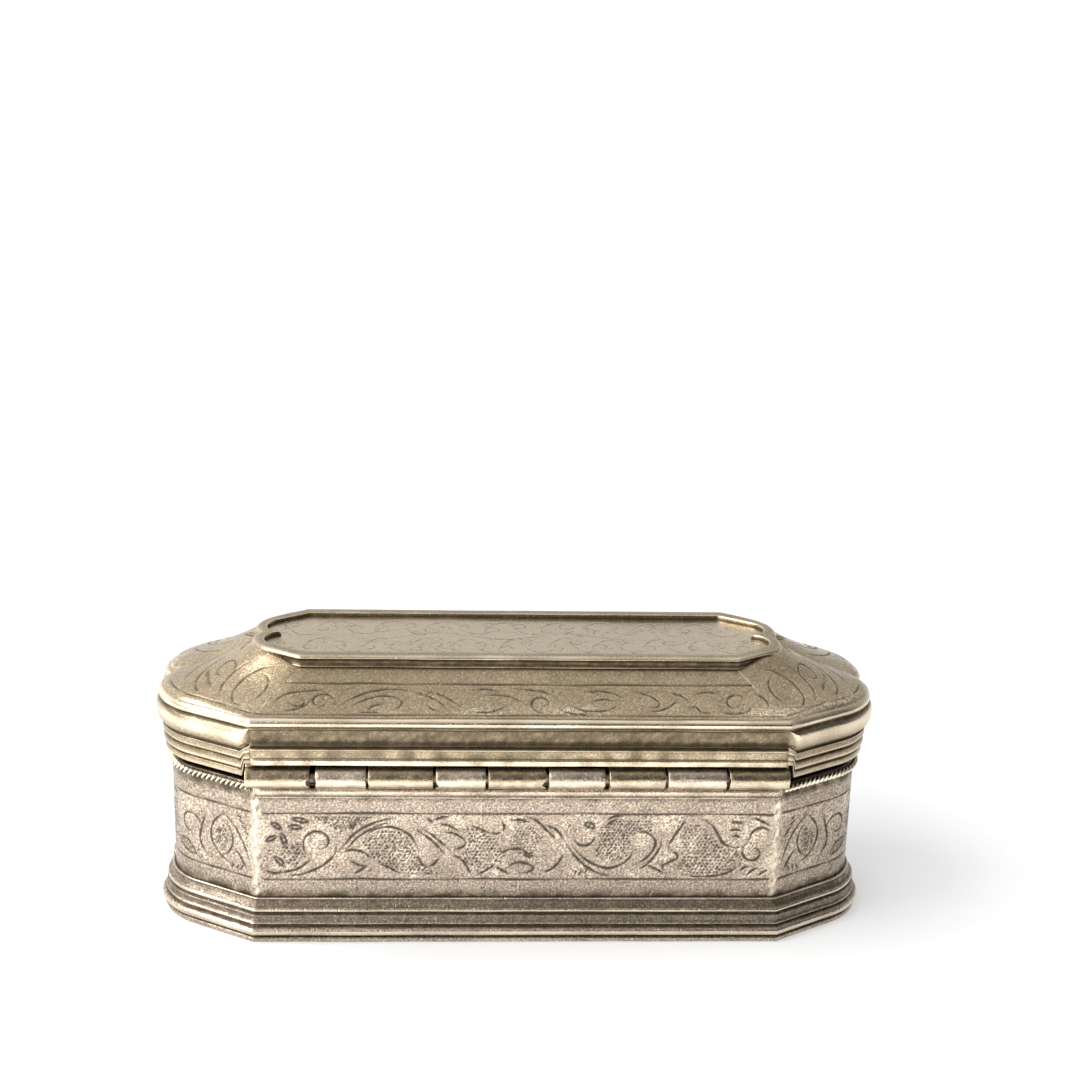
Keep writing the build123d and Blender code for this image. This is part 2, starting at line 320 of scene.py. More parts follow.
def ripple(points, wavelength, seed):
    """Smooth seeded noise from 0 to about 1, from waves that run in random directions."""
    random = np.random.default_rng(seed)
    directions = random.normal(size=(7, 3))
    directions /= np.linalg.norm(directions, axis=1)[:, None]
    rates = random.uniform(0.6, 1.6, 7) * 2 * np.pi / wavelength
    phases = random.uniform(0, 2 * np.pi, 7)
    waves = np.sin(points @ (directions * rates[:, None]).T + phases)
    return np.clip(0.5 + waves.mean(axis=-1) * 1.3, 0, 1)


def grid_normals(points, wrap):
    """Unit normals of a grid of points, rows up and columns anticlockwise, pointing out."""
    if wrap:
        along = np.roll(points, -1, axis=1) - np.roll(points, 1, axis=1)
    else:
        along = np.gradient(points, axis=1)
    up = np.gradient(points, axis=0)
    normals = np.cross(along, up)
    return normals / np.maximum(np.linalg.norm(normals, axis=2, keepdims=True), 1e-9)


def worn_in(points, wrap, seed, amount=0.05):
    """Press a surface in by a slight, slow unevenness and a finer one."""
    normals = grid_normals(points, wrap)
    depth = amount * ripple(points, 15.0, seed) + amount * 0.15 * ripple(points, 2.2, seed + 1)
    return points - normals * depth[..., None]


# ---- Engraving ----


def smooth_path(points, spacing=0.08):
    """A smooth curve through given points."""
    placed = np.array(points, dtype=float)
    padded = np.concatenate([[2 * placed[0] - placed[1]], placed, [2 * placed[-1] - placed[-2]]])
    path = []
    for a, b, c, d in zip(padded[:-3], padded[1:-2], padded[2:-1], padded[3:]):
        count = max(2, int(np.linalg.norm(c - b) / spacing))
        square = 2 * a - 5 * b + 4 * c - d
        cube = 3 * b - a - 3 * c + d
        for t in np.arange(count) / count:
            path.append(0.5 * (2 * b + (c - a) * t + square * t**2 + cube * t**3))
    path.append(placed[-1])
    return np.array(path)


class Face:
    """One face of a swept surface, with distances across and up it, on which lines and dots are cut."""

    def __init__(self, across, up, seed):
        self.across, self.up = across, up
        self.cut = np.zeros(across.shape)
        self.dotted = np.zeros(across.shape)
        self.random = np.random.default_rng(seed)

    def near(self, low, high):
        """Grid points inside a box."""
        inside = (self.across > low[0]) & (self.across < high[0]) & (self.up > low[1]) & (self.up < high[1])
        return np.nonzero(inside)

    def stroke(self, points, width=0.42, depth=1.0, taper=True):
        """A graver's stroke, deepest in its middle and thin at its ends."""
        path = smooth_path(points)
        along = np.linspace(0, 1, len(path))
        swell = np.sqrt(np.clip(np.sin(np.pi * along), 0.05, 1)) if taper else np.ones(len(path))
        swell = swell * (0.85 + 0.15 * np.sin(along * 23 + path[0, 0]))
        found = self.near(path.min(axis=0) - width, path.max(axis=0) + width)
        here = np.column_stack([self.across[found], self.up[found]])
        if not len(here):
            return
        away = np.linalg.norm(here[:, None] - path[None], axis=2) / (width / 2 * (0.5 + 0.5 * swell))
        depths = (np.clip(1.25 - away, 0, 1) ** 0.8 * swell * depth).max(axis=1)
        self.cut[found] = np.maximum(self.cut[found], depths)

    def strokes(self, width, paths, depth=1.0):
        """Several strokes of one width."""
        for points in paths:
            self.stroke(points, width, depth)

    def spiral(self, centre, radius, turns, start, spin=1, width=0.36, depth=1.0):
        """A curl that winds in from its start angle, in degrees."""
        t = np.linspace(0, 1, max(6, int(turns * 10)))
        angles = math.radians(start) + spin * t * turns * 2 * math.pi
        reach = radius * (1 - 0.82 * t)
        points = np.column_stack([centre[0] + reach * np.cos(angles), centre[1] + reach * np.sin(angles)])
        self.stroke(points, width, depth)

    def dots(self, outline, pitch=0.55, size=0.38, depth=1.0):
        """Punched dots inside a closed outline, in slightly uneven staggered rows."""
        corners = np.array(outline, dtype=float)
        low, high = corners.min(axis=0), corners.max(axis=0)
        following = np.roll(corners, -1, axis=0)
        row = 0
        for y in np.arange(low[1] + pitch / 2, high[1], pitch * 0.86):
            row += 1
            for x in np.arange(low[0] + pitch * (0.5 if row % 2 else 1.0), high[0], pitch):
                spot = np.array([x, y]) + self.random.normal(0, pitch * 0.1, 2)
                crosses = (corners[:, 1] > spot[1]) != (following[:, 1] > spot[1])
                rise = np.where(crosses, following[:, 1] - corners[:, 1], 1.0)
                at = corners[:, 0] + (spot[1] - corners[:, 1]) / rise * (following[:, 0] - corners[:, 0])
                if np.count_nonzero(crosses & (spot[0] < at)) % 2:
                    breadth = size * self.random.uniform(0.8, 1.15)
                    self.dot(spot, breadth, depth * self.random.uniform(0.6, 1.0))

    def dot(self, spot, size, depth):
        """One punched dot."""
        found = self.near(spot - size, spot + size)
        away = np.hypot(self.across[found] - spot[0], self.up[found] - spot[1]) / (size / 2)
        self.dotted[found] = np.maximum(self.dotted[found], np.clip(1.3 - away, 0, 1) * depth)

    def line(self, start, end, height, width=0.3, depth=0.9):
        """A border line ruled by hand across the face."""
        x = np.linspace(start, end, max(3, int((end - start) / 4)))
        wander = self.random.normal(0, 0.04, len(x))
        self.stroke(np.column_stack([x, height + wander]), width, depth, taper=False)

    def leaf(self, base, tip, breadth, bend=0.25, width=0.34, filled=True):
        """A pointed leaf from base to tip with a curved side, a flatter side, and dots inside it."""
        base, tip = np.array(base, float), np.array(tip, float)
        run = tip - base
        side = np.array([-run[1], run[0]]) / np.linalg.norm(run)
        fat = [base + run * t + side * breadth * s for t, s in ((0.2, 0.6), (0.5, 1.0), (0.8, 0.55))]
        flat = [base + run * t - side * breadth * bend * s for t, s in ((0.3, 0.9), (0.6, 1.0), (0.85, 0.5))]
        self.stroke([base, *fat, tip], width)
        self.stroke([base, *flat, tip], width)
        if filled:
            self.dots([base, *fat, tip, *flat[::-1]], pitch=0.5)

    def ticks(self, start, end, count, lean, width=0.3):
        """Short parallel strokes in a row."""
        start, end, lean = np.array(start, float), np.array(end, float), np.array(lean, float)
        for t in (np.arange(count) + 0.5) / count:
            foot = start + (end - start) * t + self.random.normal(0, 0.07, 2)
            self.stroke([foot, foot + lean * 0.5, foot + lean * self.random.uniform(0.8, 1.1)], width)

    def flourishes(self, left, right, low, high, width=0.26, depth=0.6):
        """Loose curls, stems and short leaves strung along a band, no two alike."""
        random, middle, reach = self.random, (low + high) / 2, (high - low) / 2
        x, side = left, 1
        while x < right:
            step = random.uniform(0.9, 1.4) * reach
            radius = random.uniform(0.3, 0.46) * reach
            y = middle + side * random.uniform(0.1, 0.45) * reach
            self.spiral((x, y), radius, random.uniform(0.9, 1.5), random.uniform(0, 360), side, width, depth)
            rise = -side * random.uniform(0.7, 0.95) * reach
            stem = [(x - radius, y), (x + step * 0.1, middle + rise * 0.7), (x + step * 0.6, middle + rise),
                    (x + step * 1.1, middle + rise * 0.4)]
            self.stroke(stem, width, depth)
            for _ in range(3):
                away = random.uniform((-0.2 * step, -0.75 * reach), (0.9 * step, 0.75 * reach))
                foot = np.array([x, middle]) + away
                lean = random.uniform(0, 2 * math.pi)
                length = random.uniform(0.3, 0.55) * reach
                tip = foot + length * np.array([math.cos(lean), 0.6 * math.sin(lean)])
                bend = (foot + tip) / 2 + random.normal(0, 0.07 * reach, 2)
                self.stroke([foot, bend, tip], width, depth)
            side = -side
            x += step


def engrave_hinge_wall(face):
    """Scrolls and stippled leaves on the wall under the hinge."""
    face.line(-34.4, 34.8, BAND_LOW)
    face.line(-34.4, 34.9, BAND_HIGH)
    face.spiral((-27.0, 14.2), 2.5, 1.15, 250, -1)
    face.dots([(-31.9, 13.9), (-29.6, 14.2), (-28.6, 12.4), (-30.2, 10.4), (-32.2, 11.6)])
    for leaf in (
        ((-33.6, 17.3), (-31.9, 16.1)), ((-31.0, 17.9), (-28.2, 17.2)), ((-32.2, 15.9), (-31.4, 13.4)),
        ((-31.3, 16.6), (-29.1, 16.4)), ((-33.2, 12.3), (-31.6, 10.5)), ((-34.2, 14.4), (-32.6, 15.2)),
    ):
        face.leaf(*leaf, 0.34, 0.6, 0.4, filled=False)
    face.dots([(-28.4, 18.3), (-19.2, 18.3), (-22.2, 16.7), (-24.2, 15.8), (-26.0, 17.2)], 0.46)
    face.dots([
        (-21.2, 14.6), (-19.0, 16.0), (-16.4, 16.1), (-14.3, 14.4), (-13.8, 12.4), (-12.6, 10.6),
        (-10.6, 9.6), (-14.6, 9.4), (-18.2, 10.8), (-20.4, 12.8),
    ])
    face.dots([
        (-8.0, 12.4), (-6.6, 14.6), (-7.6, 16.6), (-4.6, 16.0), (-2.6, 14.2), (-1.6, 12.2), (-3.2, 10.8),
        (-5.6, 9.8),
    ])
    face.dots([(-1.2, 14.0), (0.0, 16.2), (2.2, 16.5), (3.3, 15.0), (2.0, 13.2), (0.2, 12.6)], 0.46, 0.32)
    face.leaf((8.8, 17.3), (10.6, 16.4), 0.4, 0.6, 0.4, filled=False)
    face.dots([
        (10.6, 12.2), (11.2, 16.6), (13.6, 17.9), (18.4, 17.9), (18.2, 15.9), (15.4, 15.6), (14.9, 12.2),
        (12.8, 11.2),
    ], 0.5)
    face.ticks((7.4, 9.6), (9.6, 9.4), 3, (0.3, 0.9))
    face.dots([
        (22.2, 15.6), (24.0, 17.4), (26.6, 15.6), (28.4, 13.2), (31.0, 12.9), (31.2, 11.2), (28.8, 9.8),
        (24.4, 9.5), (21.8, 10.6), (22.6, 12.6),
    ])
    face.spiral((32.4, 12.9), 1.75, 1.1, 120, 1, 0.42)
    for start, end in (
        ((29.0, 17.4), (30.9, 17.1)), ((28.9, 16.2), (30.6, 16.1)), ((29.3, 15.2), (30.6, 15.1)),
        ((31.9, 18.1), (34.6, 16.8)), ((30.6, 10.0), (31.9, 10.9)), ((31.6, 9.4), (33.2, 10.6)),
        ((33.2, 9.3), (34.6, 10.2)),
    ):
        middle = ((start[0] + end[0]) / 2, (start[1] + end[1]) / 2 + 0.15)
        face.stroke([start, middle, end], 0.42)
    face.strokes(0.42, [
        [(-27.9, 11.9), (-30.0, 10.3), (-32.6, 9.7)], [(-34.6, 10.2), (-33.0, 9.7), (-31.6, 10.0)],
        [(-23.0, 17.7), (-22.5, 16.4), (-22.0, 17.9)],
        [(-24.2, 12.6), (-22.6, 13.2), (-20.8, 12.7), (-19.8, 11.7)],
        [(-22.9, 11.6), (-21.6, 10.9), (-20.7, 10.8)], [(-22.3, 9.6), (-21.3, 10.2), (-20.4, 10.9)],
        [(-13.7, 12.3), (-13.0, 11.0), (-12.2, 10.7)], [(-12.2, 10.7), (-11.5, 11.0), (-10.8, 11.9)],
        [(-9.2, 12.6), (-7.6, 11.7), (-6.8, 10.4), (-6.1, 9.0)], [(-5.7, 9.3), (-4.4, 10.1), (-3.0, 11.0)],
        [(-1.2, 17.6), (0.2, 17.7), (1.6, 17.3)], [(0.6, 12.9), (1.3, 12.2), (2.4, 12.4)],
        [(-1.7, 10.3), (-0.2, 11.3), (1.4, 11.1), (2.2, 10.4), (1.2, 9.8), (-0.2, 9.9)],
        [(-3.2, 10.7), (-2.2, 10.2), (-1.0, 9.5)], [(3.2, 9.8), (4.6, 10.3), (5.6, 11.4), (6.4, 12.8)],
        [(6.4, 14.4), (7.6, 12.6), (9.2, 10.9), (11.2, 9.7), (13.0, 9.2)],
        [(7.2, 14.0), (8.8, 12.2), (10.8, 10.9), (12.6, 10.5), (14.6, 11.3), (15.6, 12.6), (15.6, 13.8)],
        [(15.6, 16.0), (17.4, 15.9), (18.8, 14.6), (18.4, 13.0), (17.2, 11.6), (15.6, 10.7)],
        [(12.0, 17.6), (13.0, 18.2), (14.4, 18.3)], [(11.8, 16.6), (12.6, 17.4), (13.6, 17.9)],
        [(20.4, 9.5), (18.6, 10.6), (17.6, 10.9)],
        [(22.9, 18.0), (22.3, 16.8), (21.7, 15.9), (20.9, 14.4), (20.4, 13.4)],
        [(25.0, 18.0), (26.4, 17.0), (27.4, 15.6), (28.2, 14.2), (29.8, 13.6), (30.9, 13.8)],
        [(31.6, 14.5), (32.2, 16.0), (33.6, 16.6), (34.6, 15.9)],
    ])
    face.strokes(0.4, [
        [(-24.6, 14.0), (-25.0, 12.4), (-26.6, 10.8), (-29.2, 9.6), (-31.5, 9.3)],
        [(-24.4, 12.8), (-22.2, 15.6), (-19.4, 17.3), (-16.4, 18.0)],
        [(-21.1, 15.0), (-19.4, 16.3), (-17.3, 16.6), (-15.1, 15.7), (-14.0, 14.2), (-13.4, 12.4)],
        [(-19.0, 11.3), (-17.3, 10.4), (-15.8, 9.6)], [(-14.2, 16.4), (-12.1, 14.9), (-9.8, 12.5)],
        [(0.8, 18.2), (2.4, 17.6), (4.0, 16.0), (5.4, 14.6)], [(3.6, 17.0), (5.2, 16.2), (6.4, 14.6)],
        [(-2.6, 12.2), (-1.4, 13.2), (0.4, 13.3), (1.6, 12.6), (2.6, 13.4)],
        [(7.4, 14.9), (8.4, 14.0), (9.8, 14.1), (10.7, 15.4)],
        [(20.4, 13.4), (21.6, 12.8), (21.9, 12.0), (20.9, 11.4), (19.9, 10.8), (20.6, 9.7)],
    ])
    face.stroke([(-23.9, 12.5), (-21.7, 15.1), (-19.0, 16.8), (-16.9, 17.3)], 0.3)
    face.strokes(0.36, [
        [(-13.3, 16.6), (-11.2, 15.0), (-9.0, 12.8)], [(22.6, 9.4), (25.8, 9.2), (28.8, 9.7), (31.2, 11.3)],
    ])
    face.strokes(0.38, [
        [(-10.9, 17.0), (-9.6, 16.9), (-7.8, 15.8)], [(-10.2, 15.9), (-8.6, 15.6), (-7.0, 14.5)],
        [(-7.0, 14.5), (-7.6, 13.6), (-8.8, 13.3)], [(-11.6, 17.6), (-10.4, 18.1), (-9.4, 18.1)],
        [(-6.6, 16.9), (-5.0, 16.2), (-3.6, 15.6)], [(-2.4, 17.6), (-1.9, 16.7), (-2.2, 15.9)],
        [(-2.4, 15.9), (-3.0, 15.6), (-3.7, 15.9)], [(-12.6, 18.0), (-12.0, 17.6), (-11.6, 17.2)],
        [(19.8, 14.6), (19.1, 12.8), (17.9, 11.2), (16.5, 10.1)],
    ])


def engrave_wall_end(face):
    """A stippled leaf, curls and border lines on a cant and its lobe. Distances run from the corner."""
    face.line(0.8, 21.0, BAND_LOW)
    face.line(0.8, 21.0, BAND_HIGH)
    face.line(0.8, 21.0, BAND_HIGH + 1.3, 0.24, 0.6)
    face.dots([(5.8, 11.6), (4.6, 12.6), (4.4, 14.4), (5.4, 15.6), (6.6, 14.6), (6.8, 12.8)], 0.46)
    face.ticks((0.9, 14.6), (2.4, 17.6), 4, (1.0, 0.6))
    face.ticks((2.2, 9.4), (4.6, 9.4), 3, (-0.5, 1.0))
    face.spiral((11.2, 14.2), 2.2, 1.2, 200, -1)
    face.leaf((10.0, 9.8), (14.4, 11.4), 1.1, 0.4)
    face.dots([(13.6, 13.0), (14.4, 16.8), (17.8, 17.4), (18.6, 13.4), (16.2, 11.6)])
    face.ticks((15.0, 9.5), (19.6, 9.7), 5, (0.7, 0.8))
    face.strokes(0.36, [
        [(3.6, 9.9), (6.0, 11.0), (7.4, 13.0), (7.2, 15.2), (5.8, 16.9), (4.2, 17.9)],
        [(6.4, 10.6), (4.6, 11.6), (3.8, 13.4), (4.2, 15.2), (5.4, 16.2)],
        [(0.8, 10.4), (1.8, 13.2), (3.4, 15.8), (5.6, 17.6)],
    ])
    face.strokes(0.42, [
        [(1.4, 9.6), (2.6, 11.6), (3.6, 12.4)], [(8.0, 10.0), (9.4, 12.2), (9.0, 14.6), (8.2, 16.8)],
        [(13.8, 17.6), (15.4, 18.0), (17.0, 17.8)],
    ])
    face.stroke([(13.2, 12.4), (15.8, 11.2), (18.6, 12.4), (19.2, 15.0), (17.8, 17.6)], 0.38)


def engrave_front_wall(face):
    """The hidden long side: the same border lines, with loose scrolls and stippled patches."""
    face.line(-34.4, 34.6, BAND_LOW)
    face.line(-34.4, 34.6, BAND_HIGH)
    face.flourishes(-32.6, 32.6, 9.2, 18.2, 0.42, 1.0)
    for x in (-27.0, -13.5, 1.0, 13.0, 26.0):
        face.dots([(x - 3.0, 12.4), (x - 0.6, 16.6), (x + 3.2, 15.4), (x + 2.6, 11.6), (x - 0.8, 10.4)])


def engrave_hinge_slope(face):
    """Fine scrolls on the lid's slope over the hinge. Heights are distances up the slope."""
    fine = 0.32
    face.line(-33.6, 33.6, LID_BORDER_HIGH, fine, 0.9)
    face.line(-35.2, 35.2, LID_BORDER_LOW, fine, 0.7)
    face.spiral((-26.6, 2.9), 1.9, 1.2, 330, 1, fine)
    face.spiral((2.9, 2.8), 1.9, 1.2, 300, -1, fine)
    face.spiral((29.0, 3.1), 1.7, 1.1, 20, 1, fine)
    for outline in (
        [(-22.0, 1.9), (-19.6, 3.6), (-17.2, 3.7), (-16.4, 2.6), (-18.2, 1.4)],
        [(-3.6, 1.6), (-4.6, 3.8), (-1.8, 3.7), (-0.6, 2.9)],
        [(9.4, 1.8), (9.6, 3.0), (12.6, 3.1), (12.0, 2.0)],
        [(24.2, 2.4), (23.6, 4.4), (26.0, 4.6), (26.4, 2.8)],
    ):
        face.dots(outline, 0.5, 0.24, 0.5)
    face.flourishes(-33.0, 33.0, 0.7, 5.9, 0.24, 0.45)
    face.dots([
        (-34.0, 0.6), (34.0, 0.6), (32.4, 2.6), (12.0, 1.6), (0.0, 2.6), (-12.0, 1.8), (-32.4, 2.8),
    ], 0.62, 0.22, 0.35)
    face.strokes(fine, [
        [(-33.4, 2.2), (-31.6, 4.2), (-29.0, 4.9), (-26.8, 5.0), (-25.2, 4.2)],
        [(-32.0, 1.0), (-30.2, 1.4), (-28.6, 2.4), (-28.0, 3.6)],
        [(-31.4, 3.0), (-30.4, 2.2), (-29.2, 2.2), (-29.0, 3.2), (-30.0, 3.6)],
        [(-24.4, 1.9), (-22.6, 3.6), (-20.0, 4.9), (-17.0, 5.4), (-14.0, 5.0)],
        [(-23.0, 1.6), (-21.8, 2.8), (-19.6, 3.9), (-17.4, 4.1), (-16.0, 3.2), (-16.4, 1.9), (-18.0, 1.2)],
        [(-20.6, 1.2), (-19.6, 2.3), (-18.2, 2.5)], [(-21.8, 0.9), (-20.2, 1.0), (-18.6, 0.8)],
        [(-14.6, 4.9), (-12.2, 4.0), (-10.6, 2.6), (-9.6, 1.0)],
        [(-13.2, 5.2), (-10.8, 4.4), (-9.0, 3.0), (-7.8, 1.6)], [(-12.8, 2.6), (-11.8, 1.6), (-10.8, 1.0)],
        [(-7.4, 1.4), (-5.6, 1.0), (-3.6, 1.3), (-1.4, 2.6)], [(-6.6, 5.2), (-4.4, 5.4), (-2.6, 4.9)],
        [(-5.0, 4.2), (-3.2, 4.4), (-1.2, 4.0), (0.4, 2.9)],
        [(-1.4, 5.6), (0.8, 5.4), (3.4, 4.9), (5.2, 3.6)],
        [(5.0, 2.6), (5.6, 1.4), (7.4, 0.8), (10.4, 0.7)],
        [(6.4, 3.0), (7.6, 1.8), (9.4, 1.4), (11.6, 1.6), (13.4, 2.8)],
        [(8.4, 4.8), (10.4, 5.2), (12.6, 4.8), (14.2, 3.6)], [(9.4, 3.2), (11.2, 3.7), (12.8, 3.3)],
        [(15.0, 5.2), (17.2, 4.5), (18.6, 3.2), (18.2, 2.2), (16.8, 2.2)],
        [(16.6, 1.2), (18.8, 1.6), (20.6, 2.9), (21.4, 4.4)], [(19.8, 5.1), (21.8, 4.4), (22.8, 3.2)],
        [(22.2, 2.0), (23.6, 2.4), (24.2, 1.4), (26.0, 1.0)], [(23.6, 4.8), (25.4, 5.1), (27.0, 4.7)],
        [(26.4, 1.4), (28.4, 1.0), (30.4, 1.4), (31.4, 2.8)], [(31.6, 4.9), (33.0, 4.0), (33.6, 2.4)],
    ])


def engrave_slope_end(face):
    """Leaf outlines, dots and curls on a cant of the lid. Distances run from the corner and up the slope."""
    fine = 0.25
    face.line(0.5, 17.0, 0.5, fine, 0.7)
    face.dots([(2.4, 2.6), (2.2, 4.6), (3.4, 6.0), (4.8, 4.8), (4.6, 2.6)], 0.48, 0.26, 0.7)
    face.spiral((9.6, 5.2), 1.9, 1.2, 210, -1, fine)
    face.ticks((8.6, 2.2), (12.0, 3.6), 5, (0.6, 0.9), fine)
    face.leaf((10.6, 7.8), (13.6, 9.6), 0.8, 0.4, fine)
    face.stroke([(0.6, 9.4), (4.0, 9.7), (8.0, 10.6), (12.0, 11.6)], fine, 0.8)
    face.strokes(fine, [
        [(1.6, 1.4), (3.8, 1.2), (5.4, 2.6), (5.6, 5.0), (4.4, 7.0), (2.8, 8.0)],
        [(2.0, 2.0), (1.6, 4.0), (2.2, 5.8), (3.6, 6.6)], [(6.2, 1.0), (7.6, 3.0), (7.8, 5.4), (6.8, 7.6)],
        [(8.2, 1.2), (10.4, 1.4), (12.4, 2.8), (13.0, 5.0), (12.0, 7.2)],
        [(14.0, 1.4), (15.6, 3.0), (15.8, 5.6)],
    ])


def engrave_front_slope(face):
    """The hidden side of the lid."""
    face.line(-33.6, 33.6, LID_BORDER_HIGH, 0.24, 0.9)
    face.line(-35.2, 35.2, LID_BORDER_LOW, 0.24, 0.7)
    face.flourishes(-32.6, 32.6, 0.8, 5.9, 0.3, 0.9)


def engrave_panel(face):
    """Fine loose scrolls over the whole of the flat top."""
    face.flourishes(-31.5, 31.5, 0.2, 6.6, 0.25, 0.62)
    face.flourishes(-32.5, 32.0, -6.6, -0.4, 0.25, 0.62)
    face.flourishes(-30.0, 30.5, -3.0, 3.2, 0.22, 0.4)
    face.stroke([
        (-28.0, 1.2), (-20.0, -1.2), (-11.0, 1.4), (-2.0, -1.0), (7.0, 1.3), (16.0, -1.2), (27.0, 1.0),
    ], 0.26, 0.6)


def distance_up(curve, foot_row, columns):
    """How far up the slope each row is from its foot, the same in every column."""
    rise = np.linalg.norm(np.diff(curve[:, :2], axis=0), axis=1)
    up = np.concatenate([[0.0], np.cumsum(rise)])
    return np.repeat((up - up[foot_row])[:, None], columns, axis=1)


def engraved(points, stations, motifs, seed, up):
    """Cut each face's motifs into the points. Returns the points, and how deep each is cut and dotted."""
    cut = np.zeros(points.shape[:2])
    dotted = np.zeros(points.shape[:2])
    for order, (name, (columns, flip)) in enumerate(stations.faces().items()):
        here = points[:, columns]
        if name in ("hinge_side", "front"):
            across = here[..., 0] * (1 if name == "hinge_side" else -1)
        else:
            steps = np.linalg.norm(np.diff(here[..., :2], axis=1), axis=2)
            across = np.concatenate([np.zeros((len(here), 1)), np.cumsum(steps, axis=1)], axis=1)
            across = across[:, -1:] - across if flip else across
        face = Face(across, up[:, columns], seed + order)
        motifs.get(name, motifs["ends"])(face)
        cut[:, columns] = np.maximum(cut[:, columns], face.cut)
        dotted[:, columns] = np.maximum(dotted[:, columns], face.dotted)
    normals = grid_normals(points, True)
    points = points - normals * (cut * CUT_DEPTH + dotted * DOT_DEPTH)[..., None]
    return points, cut, dotted


def near_corners(shape, reach, brightest, fall):
    """Paler marks on the columns beside each corner, brightest on the corner itself."""
    wear_and_sheen = np.zeros(shape)
    for column in FINE.corners():
        for offset in range(-reach, reach + 1):
            wear_and_sheen[:, (column + offset) % FINE.count] = brightest - abs(offset) * fall
    return wear_and_sheen


def with_back(blank, cut, dotted, wear_and_sheen, dirt_and_shade):
    """The marks of an outer surface, followed by those of the plain back behind it."""
    outer = {"cut": cut, "dotted": dotted, "wear_and_sheen": wear_and_sheen}
    marks = {mark: np.concatenate([values, blank]) for mark, values in outer.items()}
    # The back is made a little darker.
    return marks | {"dirt_and_shade": np.concatenate([dirt_and_shade, blank + 0.3])}


# ---- Meshes ----


def make_mesh(name, vertices, faces, marks, material, body, nodes):
    """One piece in metres with its marks as attributes, riding on its body in place of its CAD nodes."""
    mesh = bpy.data.meshes.new(name)
    mesh.from_pydata((vertices * MM).tolist(), [], faces)
    for mark, values in marks.items():
        attribute = mesh.attributes.new(mark, "FLOAT", "POINT")
        attribute.data.foreach_set("value", values.astype(np.float32).ravel())
    mesh.materials.append(material)
    mesh.shade_smooth()
    mesh.validate()
    mesh.update()
    piece = bpy.data.objects.new(name, mesh)
    bpy.context.scene.collection.objects.link(piece)
    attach(piece, body)
    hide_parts(*nodes)
    return piece


def grid_faces(rows, columns, wrap_rows, wrap_columns, flipped):
    """Quads of a grid whose rows and columns may close on themselves, with flat ends where columns don't."""
    across = np.arange(columns if wrap_columns else columns - 1)
    down = np.arange(rows if wrap_rows else rows - 1)
    r, c = np.meshgrid(down, across, indexing="ij")
    r, c = r.ravel(), c.ravel()
    r2, c2 = (r + 1) % rows, (c + 1) % columns
    quads = np.column_stack([r * columns + c, r * columns + c2, r2 * columns + c2, r2 * columns + c])
    faces = (quads[:, ::-1] if flipped else quads).tolist()
    if not wrap_columns:
        first = [row * columns for row in range(rows)]
        last = [row * columns + columns - 1 for row in range(rows)]
        faces += [first[::-1], last] if flipped else [first, last[::-1]]
    return faces


def grid_piece(name, points, marks, material, body, nodes, closed=True, flipped=False):
    """A closed shell from a grid: rows go round its profile, columns along it."""
    rows, columns = points.shape[:2]
    for mark in ("cut", "dotted", "wear_and_sheen", "dirt_and_shade"):
        marks.setdefault(mark, np.zeros((rows, columns)))
    faces = grid_faces(rows, columns, True, closed, flipped)
    return make_mesh(name, points.reshape(-1, 3), faces, marks, material, body, nodes)


def moulding(profile, stations, seed, plan=WALL, other=None, share=0.0):
    """A moulding carried round the outline, with a share of another: its points, its wear with painted
    highlights, and its dirt with painted shade.
    """
    pairs = [(rounded(profile), 1 - share), (rounded(other or profile), share)]
    points = sum(
        sweep([(row[0], grown(plan, row[1])) for row in fine], stations) * np.reshape(part, (1, -1, 1))
        for fine, part in pairs
    )
    points = worn_in(points, True, seed)
    wear_and_sheen, dirt_and_shade = (
        sum(fine[:, mark:mark + 1] * np.reshape(part, (1, -1)) for fine, part in pairs) for mark in (2, 3)
    )
    fade = 0.7 + 0.4 * ripple(points, 8.0, seed + 5)
    spots = 0.75 + 0.35 * ripple(points, 1.6, seed + 6)
    shape = points.shape[:2]
    return points, np.broadcast_to(wear_and_sheen * fade, shape), np.broadcast_to(dirt_and_shade * spots, shape)


def closed_behind(points, wear_and_sheen, dirt_and_shade, levels, stations):
    """Add the plain rows behind a moulding, so that its profile closes on itself."""
    back = sweep(levels, stations)
    blank = np.zeros(back.shape[:2])
    # The rows behind are made darker.
    marks = {"wear_and_sheen": np.concatenate([wear_and_sheen, blank]), "dirt_and_shade": np.concatenate([dirt_and_shade, blank + 0.5])}
    return np.concatenate([points, back]), marks


# ---- Body pieces ----


def make_plinth(material):
    """The reeded strip round the foot."""
    points, wear_and_sheen, dirt_and_shade = moulding(PLINTH, COARSE, 11)
    behind = grown(WALL, -0.1)
    points, marks = closed_behind(points, wear_and_sheen, dirt_and_shade, [(PLINTH[-1][0], behind), (0.0, behind)], COARSE)
    grid_piece("plinth_strip", points, marks, material, "case", ["base_moulding"])


